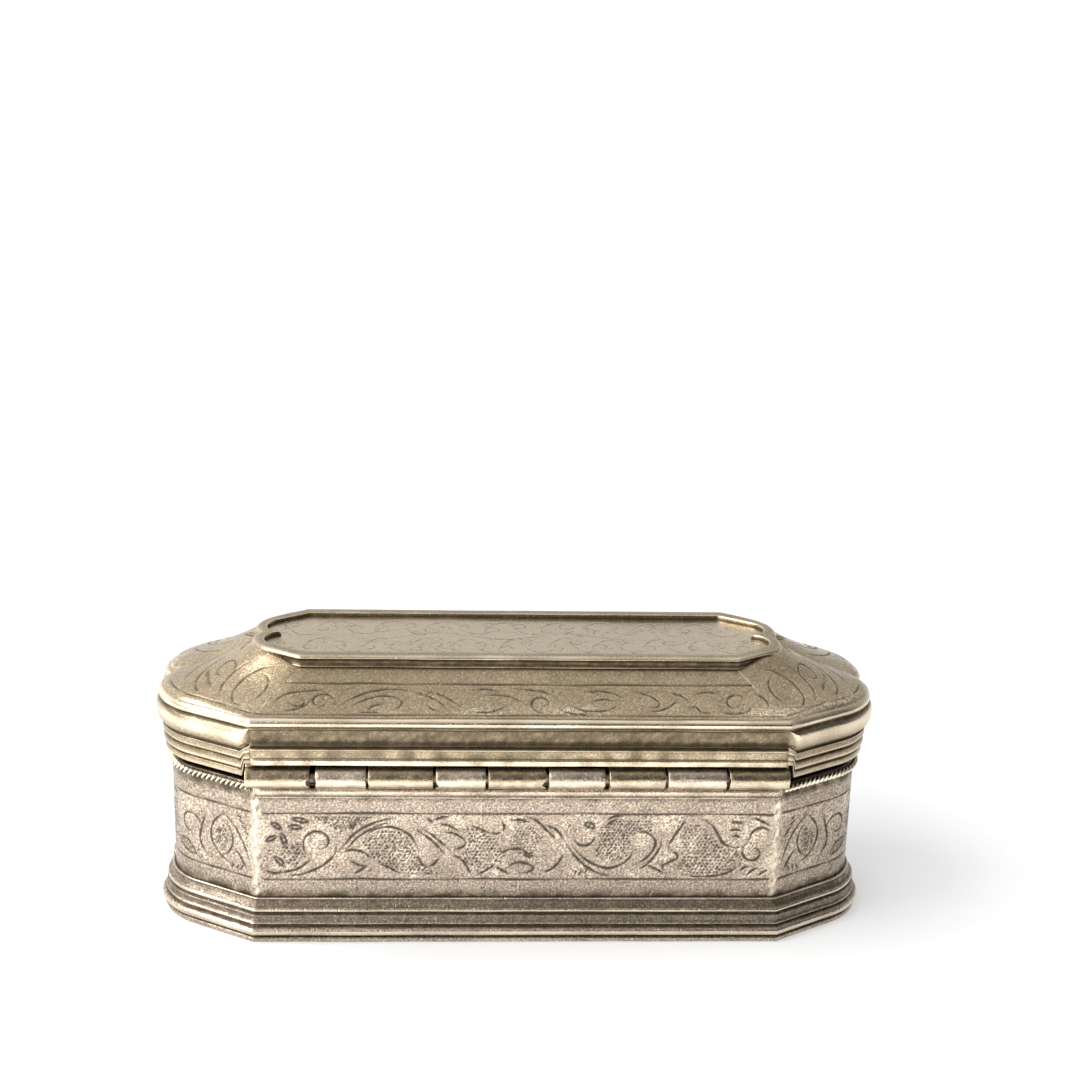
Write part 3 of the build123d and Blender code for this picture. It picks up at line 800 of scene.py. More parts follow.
def make_wall(material):
    """The engraved wall band, fine where it is engraved and plain inside."""
    heights = np.concatenate([
        [WALL_LOW[2], 3.0, 5.6], np.arange(6.0, 8.5, 0.3), np.arange(8.5, 18.95, 0.183),
        np.arange(19.1, 22.0, 0.32), [22.5, WALL_HIGH[2] - 0.06],
    ])
    outer = sweep([(height, WALL) for height in heights], FINE, WALL_ROUND)
    outer = worn_in(outer, True, 31, 0.035)
    motifs = {"hinge_side": engrave_hinge_wall, "front": engrave_front_wall, "ends": engrave_wall_end}
    outer, cut, dotted = engraved(outer, FINE, motifs, 40, outer[..., 2])
    pitted = (np.random.default_rng(32).random(cut.shape) > 0.86) * 0.55 * ripple(outer, 3.0, 38)
    outer -= grid_normals(outer, True) * 0.03 * pitted[..., None]
    dotted = np.maximum(dotted, pitted)
    inside = grown(WALL, -SHEET)
    inner = sweep([(height, inside) for height in np.linspace(WALL_HIGH[2], WALL_LOW[2], 9)], FINE)
    inner += grid_normals(inner, True) * (0.05 * ripple(inner, 7.0, 33))[..., None]
    lip = sweep([(WALL_HIGH[2], grown(WALL, -0.1))], FINE, WALL_ROUND)
    points = np.concatenate([outer, lip, inner])
    blank = np.zeros((len(points) - len(outer), outer.shape[1]))
    wear_and_sheen = near_corners(outer.shape[:2], 8, 1.1, 0.1)
    grains = np.random.default_rng(34)
    floral = np.where((heights > 8.7) & (heights < 18.6), 1.0, 0.45)[:, None]
    sandy = (grains.random(wear_and_sheen.shape) > 0.55) * floral * (0.3 + 0.55 * ripple(outer, 5.0, 37))
    wear_and_sheen = np.clip(np.maximum(wear_and_sheen * (0.3 + 0.8 * ripple(outer, 1.2, 35)), sandy), 0, 1)
    # Darker towards the foot and the head of the wall band.
    foot = np.clip((heights - 6.2) / 1.6, 0, 1)[:, None]
    head = np.clip((21.2 - heights) / 1.2, 0, 1)[:, None]
    dirt_and_shade = (1 - foot * head) * (0.5 + 0.5 * ripple(outer, 2.0, 36))
    marks = with_back(blank, cut, dotted, wear_and_sheen, dirt_and_shade)
    grid_piece("wall_band", points, marks, material, "case", ["body_wall"])


def make_bezel(material):
    """The lip inside the wall, open towards the hinge."""
    low, high = box_mm("inner_bezel")
    outer, inner = -SHEET, -SHEET - BEZEL_SHEET
    profile = rounded([
        (low[2], outer), (low[2] + 2.6, outer), (high[2] - 0.5, outer - 0.04), (high[2] - 0.1, outer - 0.12),
        (high[2], outer - 0.32), (high[2] - 0.08, inner + 0.12), (high[2] - 0.4, inner), (low[2], inner),
    ], 1)
    points = sweep([(row[0], grown(WALL, row[1])) for row in profile], COARSE)
    kept = np.nonzero(points[0, :, 1] > BEZEL_BACK)[0]
    points = points[:, kept]
    sag = [0, 0, -0.12] * ripple(points, 12.0, 51)[..., None]
    points = points + sag * (points[..., 2:] > high[2] - 1)
    wear_and_sheen = np.repeat((profile[:, 0:1] > high[2] - 0.5) * 0.8, points.shape[1], axis=1)
    marks = {"wear_and_sheen": wear_and_sheen}
    grid_piece("bezel_lip", points, marks, material, "case", ["inner_bezel"], closed=False)


def wire_path(spacing):
    """Evenly spaced points from the hinge side's right corner round to its left corner."""
    loop = FINE.ring(WALL)
    path = loop[FINE.corner + 1:FINE.count - FINE.corner]
    run = np.concatenate([[0], np.cumsum(np.linalg.norm(np.diff(path, axis=0), axis=1))])
    even = np.arange(0.3, run[-1] - 0.3, spacing)
    path = np.column_stack([np.interp(even, run, path[:, axis]) for axis in (0, 1)])
    window = np.hanning(11) / np.hanning(11).sum()
    padded = np.pad(path, ((5, 5), (0, 0)), mode="edge")
    return np.column_stack([np.convolve(padded[:, axis], window, "valid") for axis in (0, 1)]), even


def make_wire(material):
    """Two wires twisted together, let into the top of the wall."""
    low, high = box_mm("rope_border")
    centre_z = (low[2] + high[2]) / 2
    sides, wire_radius, twist_radius, pitch, outset, dip = 9, 0.31, 0.3, 1.6, 0.06, 0.08
    path, run = wire_path(0.1)
    tangents = np.gradient(path, axis=0)
    tangents /= np.linalg.norm(tangents, axis=1)[:, None]
    out = np.column_stack([tangents[:, 1], -tangents[:, 0], np.zeros(len(path))])
    axis = np.column_stack([path + out[:, :2] * outset, np.full(len(path), centre_z)])
    axis[:, 2] -= dip * ripple(axis, 14.0, 61)
    upright = np.array([0.0, 0.0, 1.0])
    around = np.arange(sides) * 2 * np.pi / sides
    for strand in range(2):
        turn = run / pitch * 2 * np.pi + strand * np.pi + 0.5 * ripple(axis, 9.0, 62)
        middle = axis + twist_radius * (np.cos(turn)[:, None] * out + np.sin(turn)[:, None] * upright)
        radius = wire_radius * (0.9 + 0.1 * ripple(middle, 0.9, 63 + strand))
        ends = np.minimum(np.arange(len(path)), np.arange(len(path))[::-1])
        radius *= np.clip((ends + 1) / 4, 0, 1) ** 0.5
        points = np.stack([
            middle + radius[:, None] * (math.cos(a) * out + math.sin(a) * upright) for a in around
        ])
        wear_and_sheen = np.clip(((points - axis) * out).sum(axis=2) / 0.5, 0, 1)
        # Darker in the crevice between the two strands.
        dirt_and_shade = np.clip(1.0 - np.linalg.norm(points - axis, axis=2) / 0.42, 0, 1)
        nodes = ["rope_border"] if strand == 0 else []
        marks = {"wear_and_sheen": wear_and_sheen, "dirt_and_shade": dirt_and_shade}
        name = f"twisted_wire_{strand + 1}"
        grid_piece(name, points, marks, material, "case", nodes, False, True)


def straight_bar(profile, ends, seed, tip, step=0.5):
    """A moulded bar along the hinge side, thinned over a short tip at each end."""
    fine = rounded(profile)
    inner = np.concatenate([[ends[0] + tip * f for f in (0.0, 0.15, 0.4, 0.7)],
                            np.arange(ends[0] + tip, ends[1] - tip, step),
                            [ends[1] - tip * f for f in (0.7, 0.4, 0.15, 0.0)]])
    edge = np.clip(np.minimum(inner - ends[0], ends[1] - inner) / tip, 0, 1)
    full = np.sqrt(np.clip(1 - (1 - edge) ** 2, 0.12, 1))
    back = fine[:, 1].min()
    outset = back + (fine[:, 1:2] - back) * full[None]
    heights = np.repeat(fine[:, 0:1], len(inner), axis=1)
    x = np.repeat(inner[None], len(fine), axis=0)
    points = np.stack([x, -WALL.half_depth - outset, heights], axis=2)
    points = worn_in(points, False, seed, 0.035)
    fade = 0.5 + 0.7 * ripple(points, 3.5, seed + 5)
    marks = {"wear_and_sheen": fine[:, 2:3] * np.clip(fade, 0, 1), "dirt_and_shade": fine[:, 3:4] * np.clip(1.4 - fade, 0, 1)}
    return points, marks


def make_hinge_bead(material):
    """The bead along the top of the hinge side, flat against the wall."""
    points, marks = straight_bar(HINGE_BEAD, (RAIL_LOW[0], RAIL_HIGH[0]), 71, 0.9)
    points[:, :, 1] = np.minimum(points[:, :, 1], -WALL.half_depth + 0.05)
    grid_piece("hinge_bead", points, marks, material, "case", ["body_rail"], closed=False)


def tube_outline(angles, tab_back, tab_end):
    """Outer radius of a knuckle at each angle, reaching out into the corner of its tab."""
    cosines, sines = np.cos(angles), np.sin(angles) * (1 if tab_end > 0 else -1)
    facing = (cosines > 1e-6) & (sines > 1e-6)
    exit_back = tab_back / np.where(facing, cosines, 1.0)
    exit_end = abs(tab_end) / np.where(facing, sines, 1.0)
    reach = np.where(facing, np.minimum(exit_back, exit_end), 0.0)
    reach = np.where(reach * cosines > 0.3, reach, 0.0)
    outer = np.maximum(KNUCKLE_RADIUS - 0.01, reach)
    return np.convolve(np.pad(outer, 1, mode="wrap"), [0.2, 0.6, 0.2], "valid")


def bitten_edges(angles, start, end, nicks):
    """X of a knuckle's two edges at each angle. Nicks are (end, angle in degrees, depth, breadth) bites."""
    edges = np.array([[start] * len(angles), [end] * len(angles)])
    for side, degrees, depth, breadth in nicks:
        apart = np.abs((np.degrees(angles) - degrees + 180) % 360 - 180)
        edges[side] += (1 - 2 * side) * depth * np.exp(-((apart / breadth) ** 2))
    return edges


def make_knuckle(name, node, tab, bore, nicks, seed, shine, material, body):
    """One hinge tube with its tab, given as (back, end) distances from the hinge line."""
    low, high = box_mm(node)
    angles = np.linspace(0, 2 * np.pi, 88, endpoint=False)
    outer = tube_outline(angles, *tab)
    edges = bitten_edges(angles, low[0], high[0], nicks)
    length = high[0] - low[0]
    turn_in = [(0.0, 0.1), (0.012, 0.05), (0.035, 0.016), (0.08, 0.0)]
    body_run = [(at, 0.0) for at in np.linspace(0.5, length - 0.5, max(4, int(length / 0.45)))]
    outline = turn_in + body_run + [(length - at, drop) for at, drop in turn_in[::-1]]
    rows = []
    for at, drop in outline:
        x = edges[0] + (edges[1] - edges[0]) * at / length
        rows.append(np.stack([x, (outer - drop) * np.cos(angles), (outer - drop) * np.sin(angles)], axis=1))
    for end in (1, 0):
        rim = np.full(len(angles), bore)
        rows.append(np.stack([edges[end], rim * np.cos(angles), rim * np.sin(angles)], axis=1))
    points = np.array(rows) + [0.0, HINGE_Y, HINGE_Z]
    shell = len(outline)
    dent = 0.05 * ripple(points[:shell], 4.0, seed) + 0.03 * ripple(points[:shell], 0.9, seed + 1)
    inward = -np.stack([np.zeros(len(angles)), np.cos(angles), np.sin(angles)], axis=1)
    points[:shell] += inward * dent[..., None]
    drops = np.array([drop for _, drop in outline] + [1.0, 1.0])[:, None]
    ends_at = np.array([min(at, length - at) for at, _ in outline] + [0.0, 0.0])[:, None]
    marks = knuckle_marks(points, drops, ends_at, seed, shine)
    grid_piece(name, points, marks, material, body, [node], True, True)


def knuckle_marks(points, drops, ends_at, seed, shine):
    """A knuckle's wear on its edges, a painted reflection on its lower half, its dirt at its ends, and
    painted shade on top.
    """
    # Painted reflection: the lower half is made paler, as if the floor showed in it.
    lower = np.clip((HINGE_Z + 0.25 - points[..., 2]) / 0.5, 0, 1)
    cloudy = 0.5 + 0.5 * ripple(points, 2.5, seed + 3)
    wear_and_sheen = np.where((drops > 0) & (drops < 0.12), 0.9, shine) + 0.55 * lower * cloudy
    dirt_and_shade = np.clip(0.9 - ends_at * 4.0, 0, 1) * 0.4 + (drops > 0.3) * 0.8
    # Painted shade: the top, under the lid's rail, is made darker.
    dirt_and_shade = np.clip(dirt_and_shade + 0.45 * (points[..., 2] > HINGE_Z + 0.7), 0, 1)
    return {"wear_and_sheen": wear_and_sheen, "dirt_and_shade": dirt_and_shade * (0.4 + 0.6 * ripple(points, 1.4, seed + 2))}


# Bites at the knuckles' edges where the tube was sawn and filed, by knuckle number
# Each is (0 for the left end or 1 for the right, angle in degrees, depth, breadth in degrees)
LID_NICKS = {1: [(1, 190, 0.45, 28)], 2: [(0, 215, 0.12, 20)], 3: [(1, 200, 0.5, 22), (0, 230, 0.15, 15)],
             4: [(0, 225, 0.3, 18)], 5: [(0, 170, 0.12, 14)]}
BODY_NICKS = {1: [(0, 190, 0.12, 22), (1, 170, 0.1, 15)], 2: [(0, 215, 0.35, 24)], 3: [(1, 235, 0.3, 20)],
              4: [(1, 180, 0.1, 15)]}


def make_knuckles(lid_material, body_material):
    """The lid's five tubes, free on the pin, and the body's four, tight on it."""
    lid_tab = (KNUCKLE_RADIUS, LID_RAIL_LOW[2] - HINGE_Z)
    body_tab = (-WALL.half_depth - HINGE_Y, RAIL_HIGH[2] - HINGE_Z)
    for number in range(1, 6):
        make_knuckle(f"lid_tube_{number}", f"lid_knuckle_{number}", lid_tab, PIN_RADIUS + 0.06,
                     LID_NICKS[number], 80 + number, 0.3, lid_material, "lid")
    for number in range(1, 5):
        make_knuckle(f"body_tube_{number}", f"body_knuckle_{number}", body_tab, PIN_RADIUS,
                     BODY_NICKS[number], 90 + number, 0.5, body_material, "case")


def make_pin(material):
    """The hinge pin with peened ends."""
    low, high = box_mm("hinge_pin")
    angles = np.linspace(0, 2 * np.pi, 28, endpoint=False)
    dome = [(0.0, 0.12), (0.04, 0.34), (0.12, 0.52), (0.26, 0.65), (0.42, 0.69)]
    middle = [(x, 0.69) for x in np.arange(1.0, high[0] - low[0] - 1.0, 0.7)]
    length = high[0] - low[0]
    rows = []
    for at, radius in dome + middle + [(length - at, radius) for at, radius in dome[::-1]]:
        x = low[0] + at
        rows.append([(x, HINGE_Y + radius * math.cos(a), HINGE_Z + radius * math.sin(a)) for a in angles])
    points = np.array(rows)
    count = len(angles)
    marks = {mark: np.zeros(points.shape[:2]) for mark in ("cut", "dotted", "wear_and_sheen")}
    marks["dirt_and_shade"] = 0.7 * ripple(points, 1.5, 99)
    faces = grid_faces(len(rows), count, False, True, True)
    faces += [list(range(count)), [(len(rows) - 1) * count + i for i in range(count)][::-1]]
    make_mesh("pin_wire", points.reshape(-1, 3), faces, marks, material, "case", ["hinge_pin"])


# ---- Lid pieces ----


def make_cornice(material):
    """The lid's cornice, raised over the hinge so that the knuckles have room."""
    past_corner = np.clip((COARSE.zone - 1) / 0.14, 0, 1)
    bulged = np.where(COARSE.hinge_half, past_corner, 1)
    points, wear_and_sheen, dirt_and_shade = moulding(CORNICE, COARSE, 111, WALL, CORNICE_END, bulged)
    inside = grown(WALL, LID_INSET)
    heights = [CORNICE_HIGH[2], *np.linspace(30.0, CORNICE_LOW[2], 6)]
    levels = [(height, inside) for height in heights]
    points, marks = closed_behind(points, wear_and_sheen, dirt_and_shade, levels, COARSE)
    over_hinge = (points[..., 1] < -WALL.half_depth + 1.2) & (np.abs(points[..., 0]) < HINGE_GAP_END)
    low, top = CORNICE_LOW[2], LID_RAIL_HIGH[2]
    lifted = LID_RAIL_LOW[2] + (points[..., 2] - low) * (top - LID_RAIL_LOW[2]) / (top - low)
    points[..., 2] = np.where(over_hinge & (points[..., 2] < top), lifted, points[..., 2])
    flat = over_hinge & (points[..., 2] < top) & (points[..., 1] < -WALL.half_depth)
    points[..., 1] = np.where(flat, -WALL.half_depth - KNUCKLE_CLEARANCE, points[..., 1])
    grid_piece("cornice", points, marks, material, "lid", ["lid_cornice"])


def make_lid_rail(material):
    """The bar on the cornice that carries the lid's knuckles."""
    points, marks = straight_bar(LID_RAIL, (LID_RAIL_LOW[0], LID_RAIL_HIGH[0]), 121, 0.35)
    grid_piece("lid_hinge_rail", points, marks, material, "lid", ["lid_rail"], closed=False)


def make_slope(material):
    """The hipped sheet of the lid, engraved, with a ruled line under a smooth upper band."""
    foot = grown(WALL, SLOPE_FOOT_OUTSET)
    head = grown(PANEL, SLOPE_HEAD_OUTSET)
    curve = smooth_path(SLOPE, 0.175)
    plans = [between(foot, head, run / SLOPE_RUN) if run > 0 else grown(foot, -run) for run in curve[:, 0]]
    outer = sweep([(0.0, plan) for plan in plans], FINE, HIP_ROUND)
    on_lobe = np.clip((FINE.zone - 1) / 0.9, 0, 1)
    outer[..., 2] = curve[:, 1:2] * (1 - on_lobe) + curve[:, 2:3] * on_lobe
    outer = worn_in(outer, True, 131, 0.05)
    motifs = {"hinge_side": engrave_hinge_slope, "front": engrave_front_slope, "ends": engrave_slope_end}
    foot_row = int(np.argmin(np.abs(curve[:, 0])))
    up = distance_up(curve, foot_row, FINE.count)
    outer, cut, dotted = engraved(outer, FINE, motifs, 140, up)
    inner = sweep([(0.0, grown(plan, -SLOPE_SHEET)) for plan in plans[::-9]], FINE)
    inner[..., 2] = outer[::-9, :, 2] - 0.05
    points = np.concatenate([outer, inner])
    blank = np.zeros(inner.shape[:2])
    heights = outer[..., 2]
    wear_and_sheen = near_corners(outer.shape[:2], 3, 0.8, 0.25)
    grains = np.random.default_rng(134).random(heights.shape)
    # Painted highlight: a broken pale band of glints along the slope's foot.
    glint = np.clip(1.2 - np.abs(heights - 33.4) / 0.7, 0, 1) * ripple(outer, 16.0, 135) * (grains > 0.55)
    wear_and_sheen = np.clip(np.maximum(wear_and_sheen * ripple(outer, 3.0, 136), glint), 0, 1)
    # Painted shade: the top of the slope, under the frame's overhang, is darkened, except on the lobes.
    dirt_and_shade = np.clip((curve[:, :1] - 7.75) / 0.3, 0, 1) * 0.8 * (1 - on_lobe)
    marks = with_back(blank, cut, dotted, wear_and_sheen, dirt_and_shade)
    grid_piece("hipped_slope", points, marks, material, "lid", ["lid_slope"])


def make_rim(material):
    """The frame around the panel, with a cove on its long sides, running into the slope on the lobes."""
    on_lobe = np.clip((COARSE.zone - 1.6) / 0.7, 0, 1)
    points, wear_and_sheen, dirt_and_shade = moulding(RIM, COARSE, 151, PANEL, RIM_END, on_lobe)
    points, marks = closed_behind(points, wear_and_sheen, dirt_and_shade, [(RIM[0][0], PANEL)], COARSE)
    grid_piece("top_frame", points, marks, material, "lid", ["lid_rim"])


def make_panel(material):
    """The flat engraved top, as rings that shrink from the outline to a line along the middle."""
    ring = FINE.ring(grown(PANEL, 0.03))
    spine = np.column_stack([np.clip(ring[:, 0], -28.0, 28.0), np.zeros(len(ring))])
    parts = np.linspace(0, 1, 44)
    plan = np.array([ring * (1 - part) + spine * part for part in parts])
    top = PANEL_HIGH[2] - 0.12 * ripple(np.dstack([plan, np.zeros(plan.shape[:2])]), 22.0, 161)
    points = np.dstack([plan, top])
    face = Face(points[..., 0], points[..., 1], 170)
    engrave_panel(face)
    points[..., 2] -= face.cut * CUT_DEPTH * 0.8 + face.dotted * DOT_DEPTH
    under = np.dstack([plan[::-14], np.full(plan[::-14].shape[:2], PANEL_LOW[2])])
    points = np.concatenate([points[::-1], under[::-1]])
    blank = np.zeros(under.shape[:2])
    # Darker in a thin band along the outer edge, against the frame.
    edge = np.clip(1 - parts / 0.06, 0, 1)[:, None] * np.ones(points.shape[1])
    marks = {
        "cut": np.concatenate([face.cut[::-1], blank]), "dotted": np.concatenate([face.dotted[::-1], blank]),
        "dirt_and_shade": np.concatenate([edge[::-1], blank]), "wear_and_sheen": np.full(points.shape[:2], 0.62),
    }
    rows, columns = points.shape[:2]
    faces = grid_faces(rows, columns, False, True, True)
    vertices = points.reshape(-1, 3)
    weld(make_mesh("top_panel", vertices, faces, marks, material, "lid", ["lid_panel"]))


def weld(piece):
    """Join the two halves of a mesh that meet along a line."""
    mesh = bmesh.new()
    mesh.from_mesh(piece.data)
    bmesh.ops.remove_doubles(mesh, verts=mesh.verts, dist=1e-6)
    bmesh.ops.dissolve_degenerate(mesh, edges=mesh.edges, dist=1e-7)
    mesh.to_mesh(piece.data)
    mesh.free()


# ---- Materials ----


class Nodes:
    """Short calls for building one material's nodes."""

    def __init__(self, name):
        self.material = bpy.data.materials.new(name)
        self.material.use_nodes = True
        self.tree = self.material.node_tree
        self.tree.nodes.clear()
        self.output = self.add("OutputMaterial")
        self.shader = self.add("BsdfPrincipled")
        self.link(self.shader.outputs[0], self.output.inputs[0])
        self.place = self.add("TexCoord").outputs["Object"]

    def add(self, kind, **settings):
        made = self.tree.nodes.new("ShaderNode" + kind)
        for key, value in settings.items():
            setattr(made, key, value)
        return made

    def link(self, source, target):
        if hasattr(source, "is_output"):
            self.tree.links.new(source, target)
        else:
            target.default_value = source

    def noise(self, scale, detail=3.0, roughness=0.55, stretch=None):
        made = self.add("TexNoise")
        made.inputs["Scale"].default_value = scale
        made.inputs["Detail"].default_value = detail
        made.inputs["Roughness"].default_value = roughness
        place = self.place
        if stretch:
            mapping = self.add("Mapping")
            mapping.inputs["Scale"].default_value = stretch
            self.link(place, mapping.inputs["Vector"])
            place = mapping.outputs[0]
        self.link(place, made.inputs["Vector"])
        return made.outputs[0]

    def specks(self, scale):
        made = self.add("TexVoronoi")
        made.inputs["Scale"].default_value = scale
        self.link(self.place, made.inputs["Vector"])
        return made.outputs["Distance"]

    def spread(self, value, low, high, to_low=0.0, to_high=1.0):
        made = self.add("MapRange")
        for socket, number in zip(("From Min", "From Max", "To Min", "To Max"), (low, high, to_low, to_high)):
            made.inputs[socket].default_value = number
        self.link(value, made.inputs["Value"])
        return made.outputs[0]

    def maths(self, operation, first, second):
        made = self.add("Math", operation=operation)
        self.link(first, made.inputs[0])
        self.link(second, made.inputs[1])
        return made.outputs[0]

    def tint(self, factor, first, second, blend="MIX"):
        made = self.add("Mix", data_type="RGBA", blend_type=blend)
        self.link(factor, made.inputs["Factor"])
        colours = [socket for socket in made.inputs if socket.type == "RGBA"]
        for source, target in zip((first, second), colours):
            self.link((*source, 1.0) if isinstance(source, tuple) else source, target)
        return next(socket for socket in made.outputs if socket.type == "RGBA")

    def mark(self, name):
        return self.add("Attribute", attribute_name=name).outputs["Fac"]


def brass(name, pale, deep, stain, roughness, grit):
    """Old brass: cloudy colour, dirt and painted shade in hollows, bright worn edges and painted highlights,
    dark cuts, pits and fine scratches.
    """
    n = Nodes(name)
    clouds = n.spread(n.noise(70.0, 3.0), 0.35, 0.65)
    patches = n.spread(n.noise(420.0, 4.0, 0.65), 0.42, 0.68)
    grain = n.noise(3400.0, 3.0, 0.7)
    dark_grain = n.spread(grain, 0.4, 0.6, 1.0, 0.0)
    speckle = n.spread(n.specks(2700.0), 0.08, 0.38, 1.0, 0.0)
    rare = n.spread(n.noise(900.0, 2.0), 0.46, 0.6)
    pits = n.maths("MULTIPLY", speckle, rare)
    scratches = n.noise(1.0, 2.0, 0.6, (160.0, 900.0, 5200.0))
    cut, dotted, wear_and_sheen, dirt_and_shade = (n.mark(mark) for mark in ("cut", "dotted", "wear_and_sheen", "dirt_and_shade"))
    light_grain = n.spread(grain, 0.54, 0.68)
    dark_cut = n.maths("MAXIMUM", n.spread(cut, 0.08, 0.55), n.spread(dotted, 0.12, 0.6))
    colour = n.tint(clouds, pale, deep)
    for factor, share, shade in (
        (patches, 0.55, stain),
        (light_grain, 0.6 * grit, (0.86, 0.77, 0.64)),
        (dark_grain, 0.8 * grit, (0.17, 0.13, 0.095)),
        (pits, 0.8 * grit, (0.07, 0.05, 0.035)),
        # dirt and painted shade, in near-black brown
        (n.spread(dirt_and_shade, 0.1, 0.85), 0.9, (0.06, 0.045, 0.025)),
        # wear and painted highlights, in pale brass
        (n.spread(wear_and_sheen, 0.3, 1.0), 0.85, (0.9, 0.78, 0.6)),
        (dark_cut, 0.9, (0.035, 0.024, 0.014)),
    ):
        colour = n.tint(n.maths("MULTIPLY", factor, share), colour, shade)
    n.link(colour, n.shader.inputs["Base Color"])
    rough = n.spread(patches, 0.0, 1.0, roughness, roughness + 0.1)
    rough = n.maths("ADD", rough, n.spread(dirt_and_shade, 0.2, 1.0, 0.0, 0.25))
    rough = n.maths("ADD", rough, n.spread(dark_cut, 0.0, 1.0, 0.0, 0.25))
    rough = n.maths("SUBTRACT", rough, n.spread(wear_and_sheen, 0.3, 1.0, 0.0, 0.08))
    n.link(rough, n.shader.inputs["Roughness"])
    n.link(n.spread(dark_cut, 0.0, 1.0, 0.93, 0.4), n.shader.inputs["Metallic"])
    height = n.maths("MULTIPLY", grain, 1.3 * grit)
    height = n.maths("SUBTRACT", height, n.maths("MULTIPLY", pits, 0.9 * grit))
    height = n.maths("ADD", height, n.maths("MULTIPLY", scratches, 0.3))
    bump = n.add("Bump")
    bump.inputs["Strength"].default_value = 0.6
    bump.inputs["Distance"].default_value = 0.00006
    n.link(height, bump.inputs["Height"])
    n.link(bump.outputs[0], n.shader.inputs["Normal"])
    return n.material


def floor_paper():
    """White studio paper that glows more in front of the case and to its left, though not right beside it."""
    n = Nodes("floor_paper")
    fibre = n.noise(260.0, 4.0, 0.6)
    n.link(n.tint(fibre, (0.44, 0.44, 0.44), (0.46, 0.46, 0.46)), n.shader.inputs["Base Color"])
    n.shader.inputs["Roughness"].default_value = 0.95
    n.shader.inputs["Specular IOR Level"].default_value = 0.1
    n.shader.inputs["Emission Color"].default_value = (1.0, 1.0, 1.0, 1.0)
    split = n.add("SeparateXYZ")
    n.link(n.place, split.inputs[0])
    sideways = n.maths("MULTIPLY", split.outputs["X"], -0.5)
    toward_light = n.spread(n.maths("SUBTRACT", sideways, split.outputs["Y"]), 0.0, 0.07, 0.0, 1.15)
    squeeze = n.add("Mapping")
    squeeze.inputs["Scale"].default_value = (0.5, 1.0, 1.0)
    n.link(n.place, squeeze.inputs["Vector"])
    away = n.add("VectorMath", operation="LENGTH")
    n.link(squeeze.outputs[0], away.inputs[0])
    glow = n.maths("MULTIPLY", toward_light, n.spread(away.outputs["Value"], 0.022, 0.045))
    n.link(n.maths("ADD", glow, 0.46), n.shader.inputs["Emission Strength"])
    return n.material


# ---- Studio ----


def make_floor(material):
    half = 7.0
    mesh = bpy.data.meshes.new("floor")
    corners = [(-half, -half, 0), (half, -half, 0), (half, half, 0), (-half, half, 0)]
    mesh.from_pydata(corners, [], [(0, 1, 2, 3)])
    mesh.materials.append(material)
    floor = bpy.data.objects.new("floor", mesh)
    bpy.context.scene.collection.objects.link(floor)


def make_sun(name, place, strength, breadth):
    """A broad soft light from one direction, even over the whole floor."""
    light = bpy.data.lights.new(name, "SUN")
    light.energy = strength
    light.angle = breadth
    lamp = bpy.data.objects.new(name, light)
    lamp.location = place
    lamp.rotation_euler = (-Vector(place)).to_track_quat("-Z", "Y").to_euler()
    bpy.context.scene.collection.objects.link(lamp)


def make_world():
    """A room that is bright behind, to the left and overhead, and dim in front and to the right."""
    world = bpy.data.worlds.new("studio")
    world.use_nodes = True
    tree = world.node_tree
    tree.nodes.clear()
    place = tree.nodes.new("ShaderNodeTexCoord").outputs["Generated"]
    split = tree.nodes.new("ShaderNodeSeparateXYZ")
    tree.links.new(place, split.inputs[0])

    def glow(socket, low, high, dim, bright):
        made = tree.nodes.new("ShaderNodeMapRange")
        made.interpolation_type = "SMOOTHSTEP"
        for name, number in zip(("From Min", "From Max", "To Min", "To Max"), (low, high, dim, bright)):
            made.inputs[name].default_value = number
        tree.links.new(split.outputs[socket], made.inputs["Value"])
        return made.outputs[0]

    def plus(first, second):
        made = tree.nodes.new("ShaderNodeMath")
        made.operation = "ADD"
        tree.links.new(first, made.inputs[0])
        tree.links.new(second, made.inputs[1])
        return made.outputs[0]

    strength = plus(glow("Y", -0.5, 0.9, 0.05, 0.95), glow("X", -0.65, 0.02, 1.0, 0.0))
    strength = plus(strength, glow("Z", 0.65, 1.0, 0.0, 0.74))
    background = tree.nodes.new("ShaderNodeBackground")
    tree.links.new(strength, background.inputs["Strength"])
    output = tree.nodes.new("ShaderNodeOutputWorld")
    tree.links.new(background.outputs[0], output.inputs[0])
    bpy.context.scene.world = world


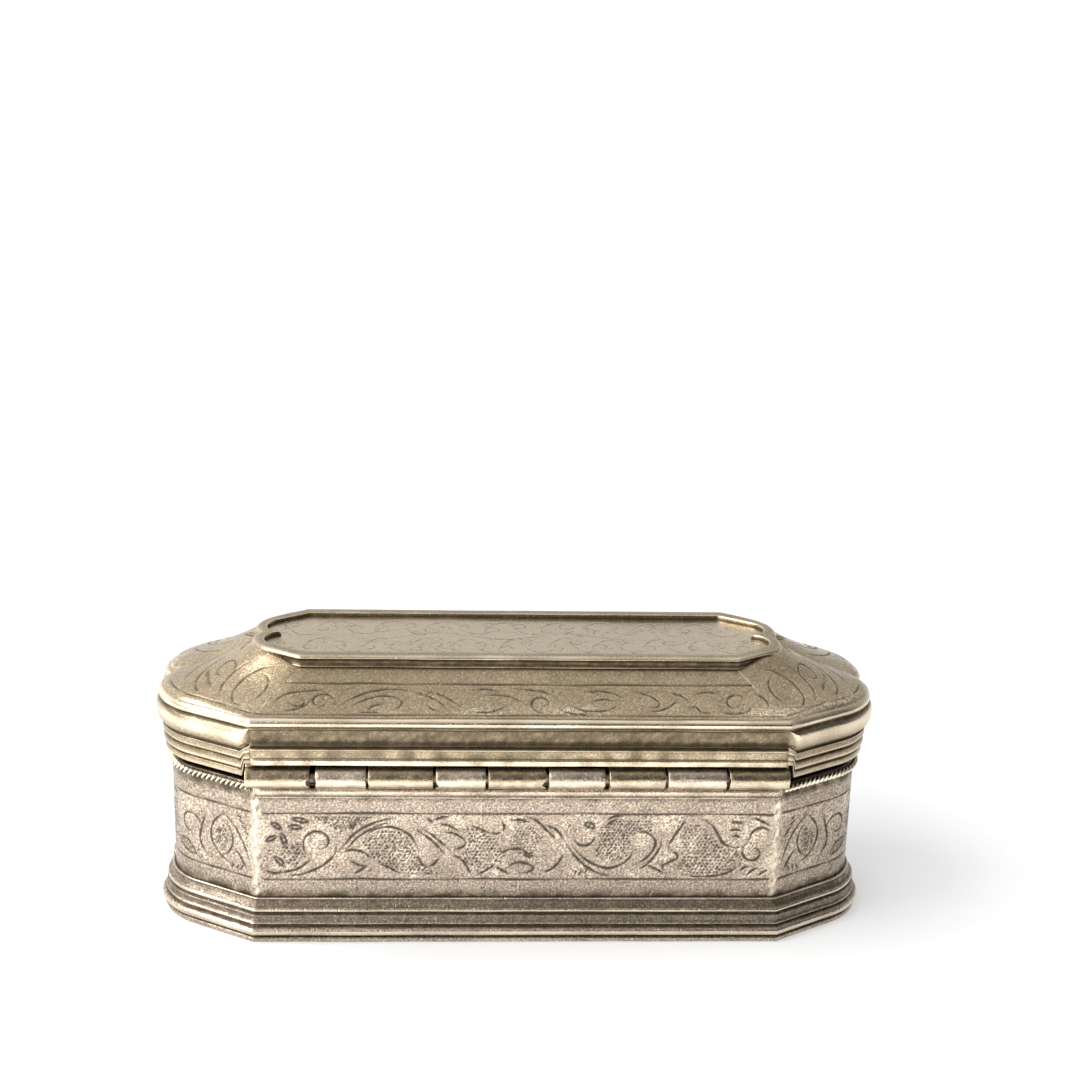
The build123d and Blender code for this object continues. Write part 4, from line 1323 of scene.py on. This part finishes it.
def make_camera():
    """A camera at the photograph's angle: a little above, turned and tilted slightly."""
    distance, down, turned, tilted = 0.2683, 0.2996, 0.0595, 0.0279
    aim = Vector((0.00275, 0.0, 0.05283))
    back = Vector((0.0, -math.cos(down), math.sin(down)))
    up = Vector((0.0, math.sin(down), math.cos(down)))
    axes = Matrix((Vector((1.0, 0.0, 0.0)), up, back)).transposed()
    turn = Matrix.Rotation(-turned, 3, "Z")
    camera = bpy.data.cameras.new("camera")
    camera.lens = 64.76
    camera.sensor_width = 36.0
    camera.clip_start = 0.01
    holder = bpy.data.objects.new("camera", camera)
    holder.matrix_world = Matrix.Translation(turn @ (aim + back * distance)) @ (
        turn @ axes @ Matrix.Rotation(tilted, 3, "Z")
    ).to_4x4()
    bpy.context.scene.collection.objects.link(holder)
    bpy.context.scene.camera = holder


def main():
    body_brass = brass("body_brass", (0.58, 0.48, 0.38), (0.46, 0.375, 0.29), (0.4, 0.32, 0.255), 0.27, 1.0)
    lid_brass = brass("lid_brass", (0.5, 0.4, 0.255), (0.4, 0.315, 0.185), (0.33, 0.25, 0.165), 0.22, 0.6)
    wire_brass = brass("wire_brass", (0.68, 0.6, 0.5), (0.6, 0.5, 0.38), (0.45, 0.38, 0.3), 0.28, 0.6)
    pin_brass = brass("pin_brass", (0.42, 0.35, 0.26), (0.3, 0.24, 0.18), (0.2, 0.16, 0.12), 0.4, 1.0)
    inner_brass = brass("inner_brass", (0.74, 0.57, 0.32), (0.64, 0.48, 0.26), (0.5, 0.37, 0.22), 0.34, 0.5)
    make_plinth(body_brass)
    make_wall(body_brass)
    make_bezel(inner_brass)
    make_wire(wire_brass)
    make_hinge_bead(body_brass)
    make_knuckles(lid_brass, body_brass)
    make_pin(pin_brass)
    make_cornice(lid_brass)
    make_lid_rail(lid_brass)
    make_slope(lid_brass)
    make_rim(lid_brass)
    make_panel(lid_brass)
    for material_slot in frame["nodes"]["base_plate"].material_slots:
        material_slot.material = inner_brass
    make_floor(floor_paper())
    make_sun("key", (-0.5, -0.1, 0.55), 2.0, 0.6)
    make_sun("fill", (-0.6, -0.6, 0.45), 1.8, 0.9)
    make_world()
    make_camera()
    bpy.context.scene.view_settings.view_transform = "Standard"


main()
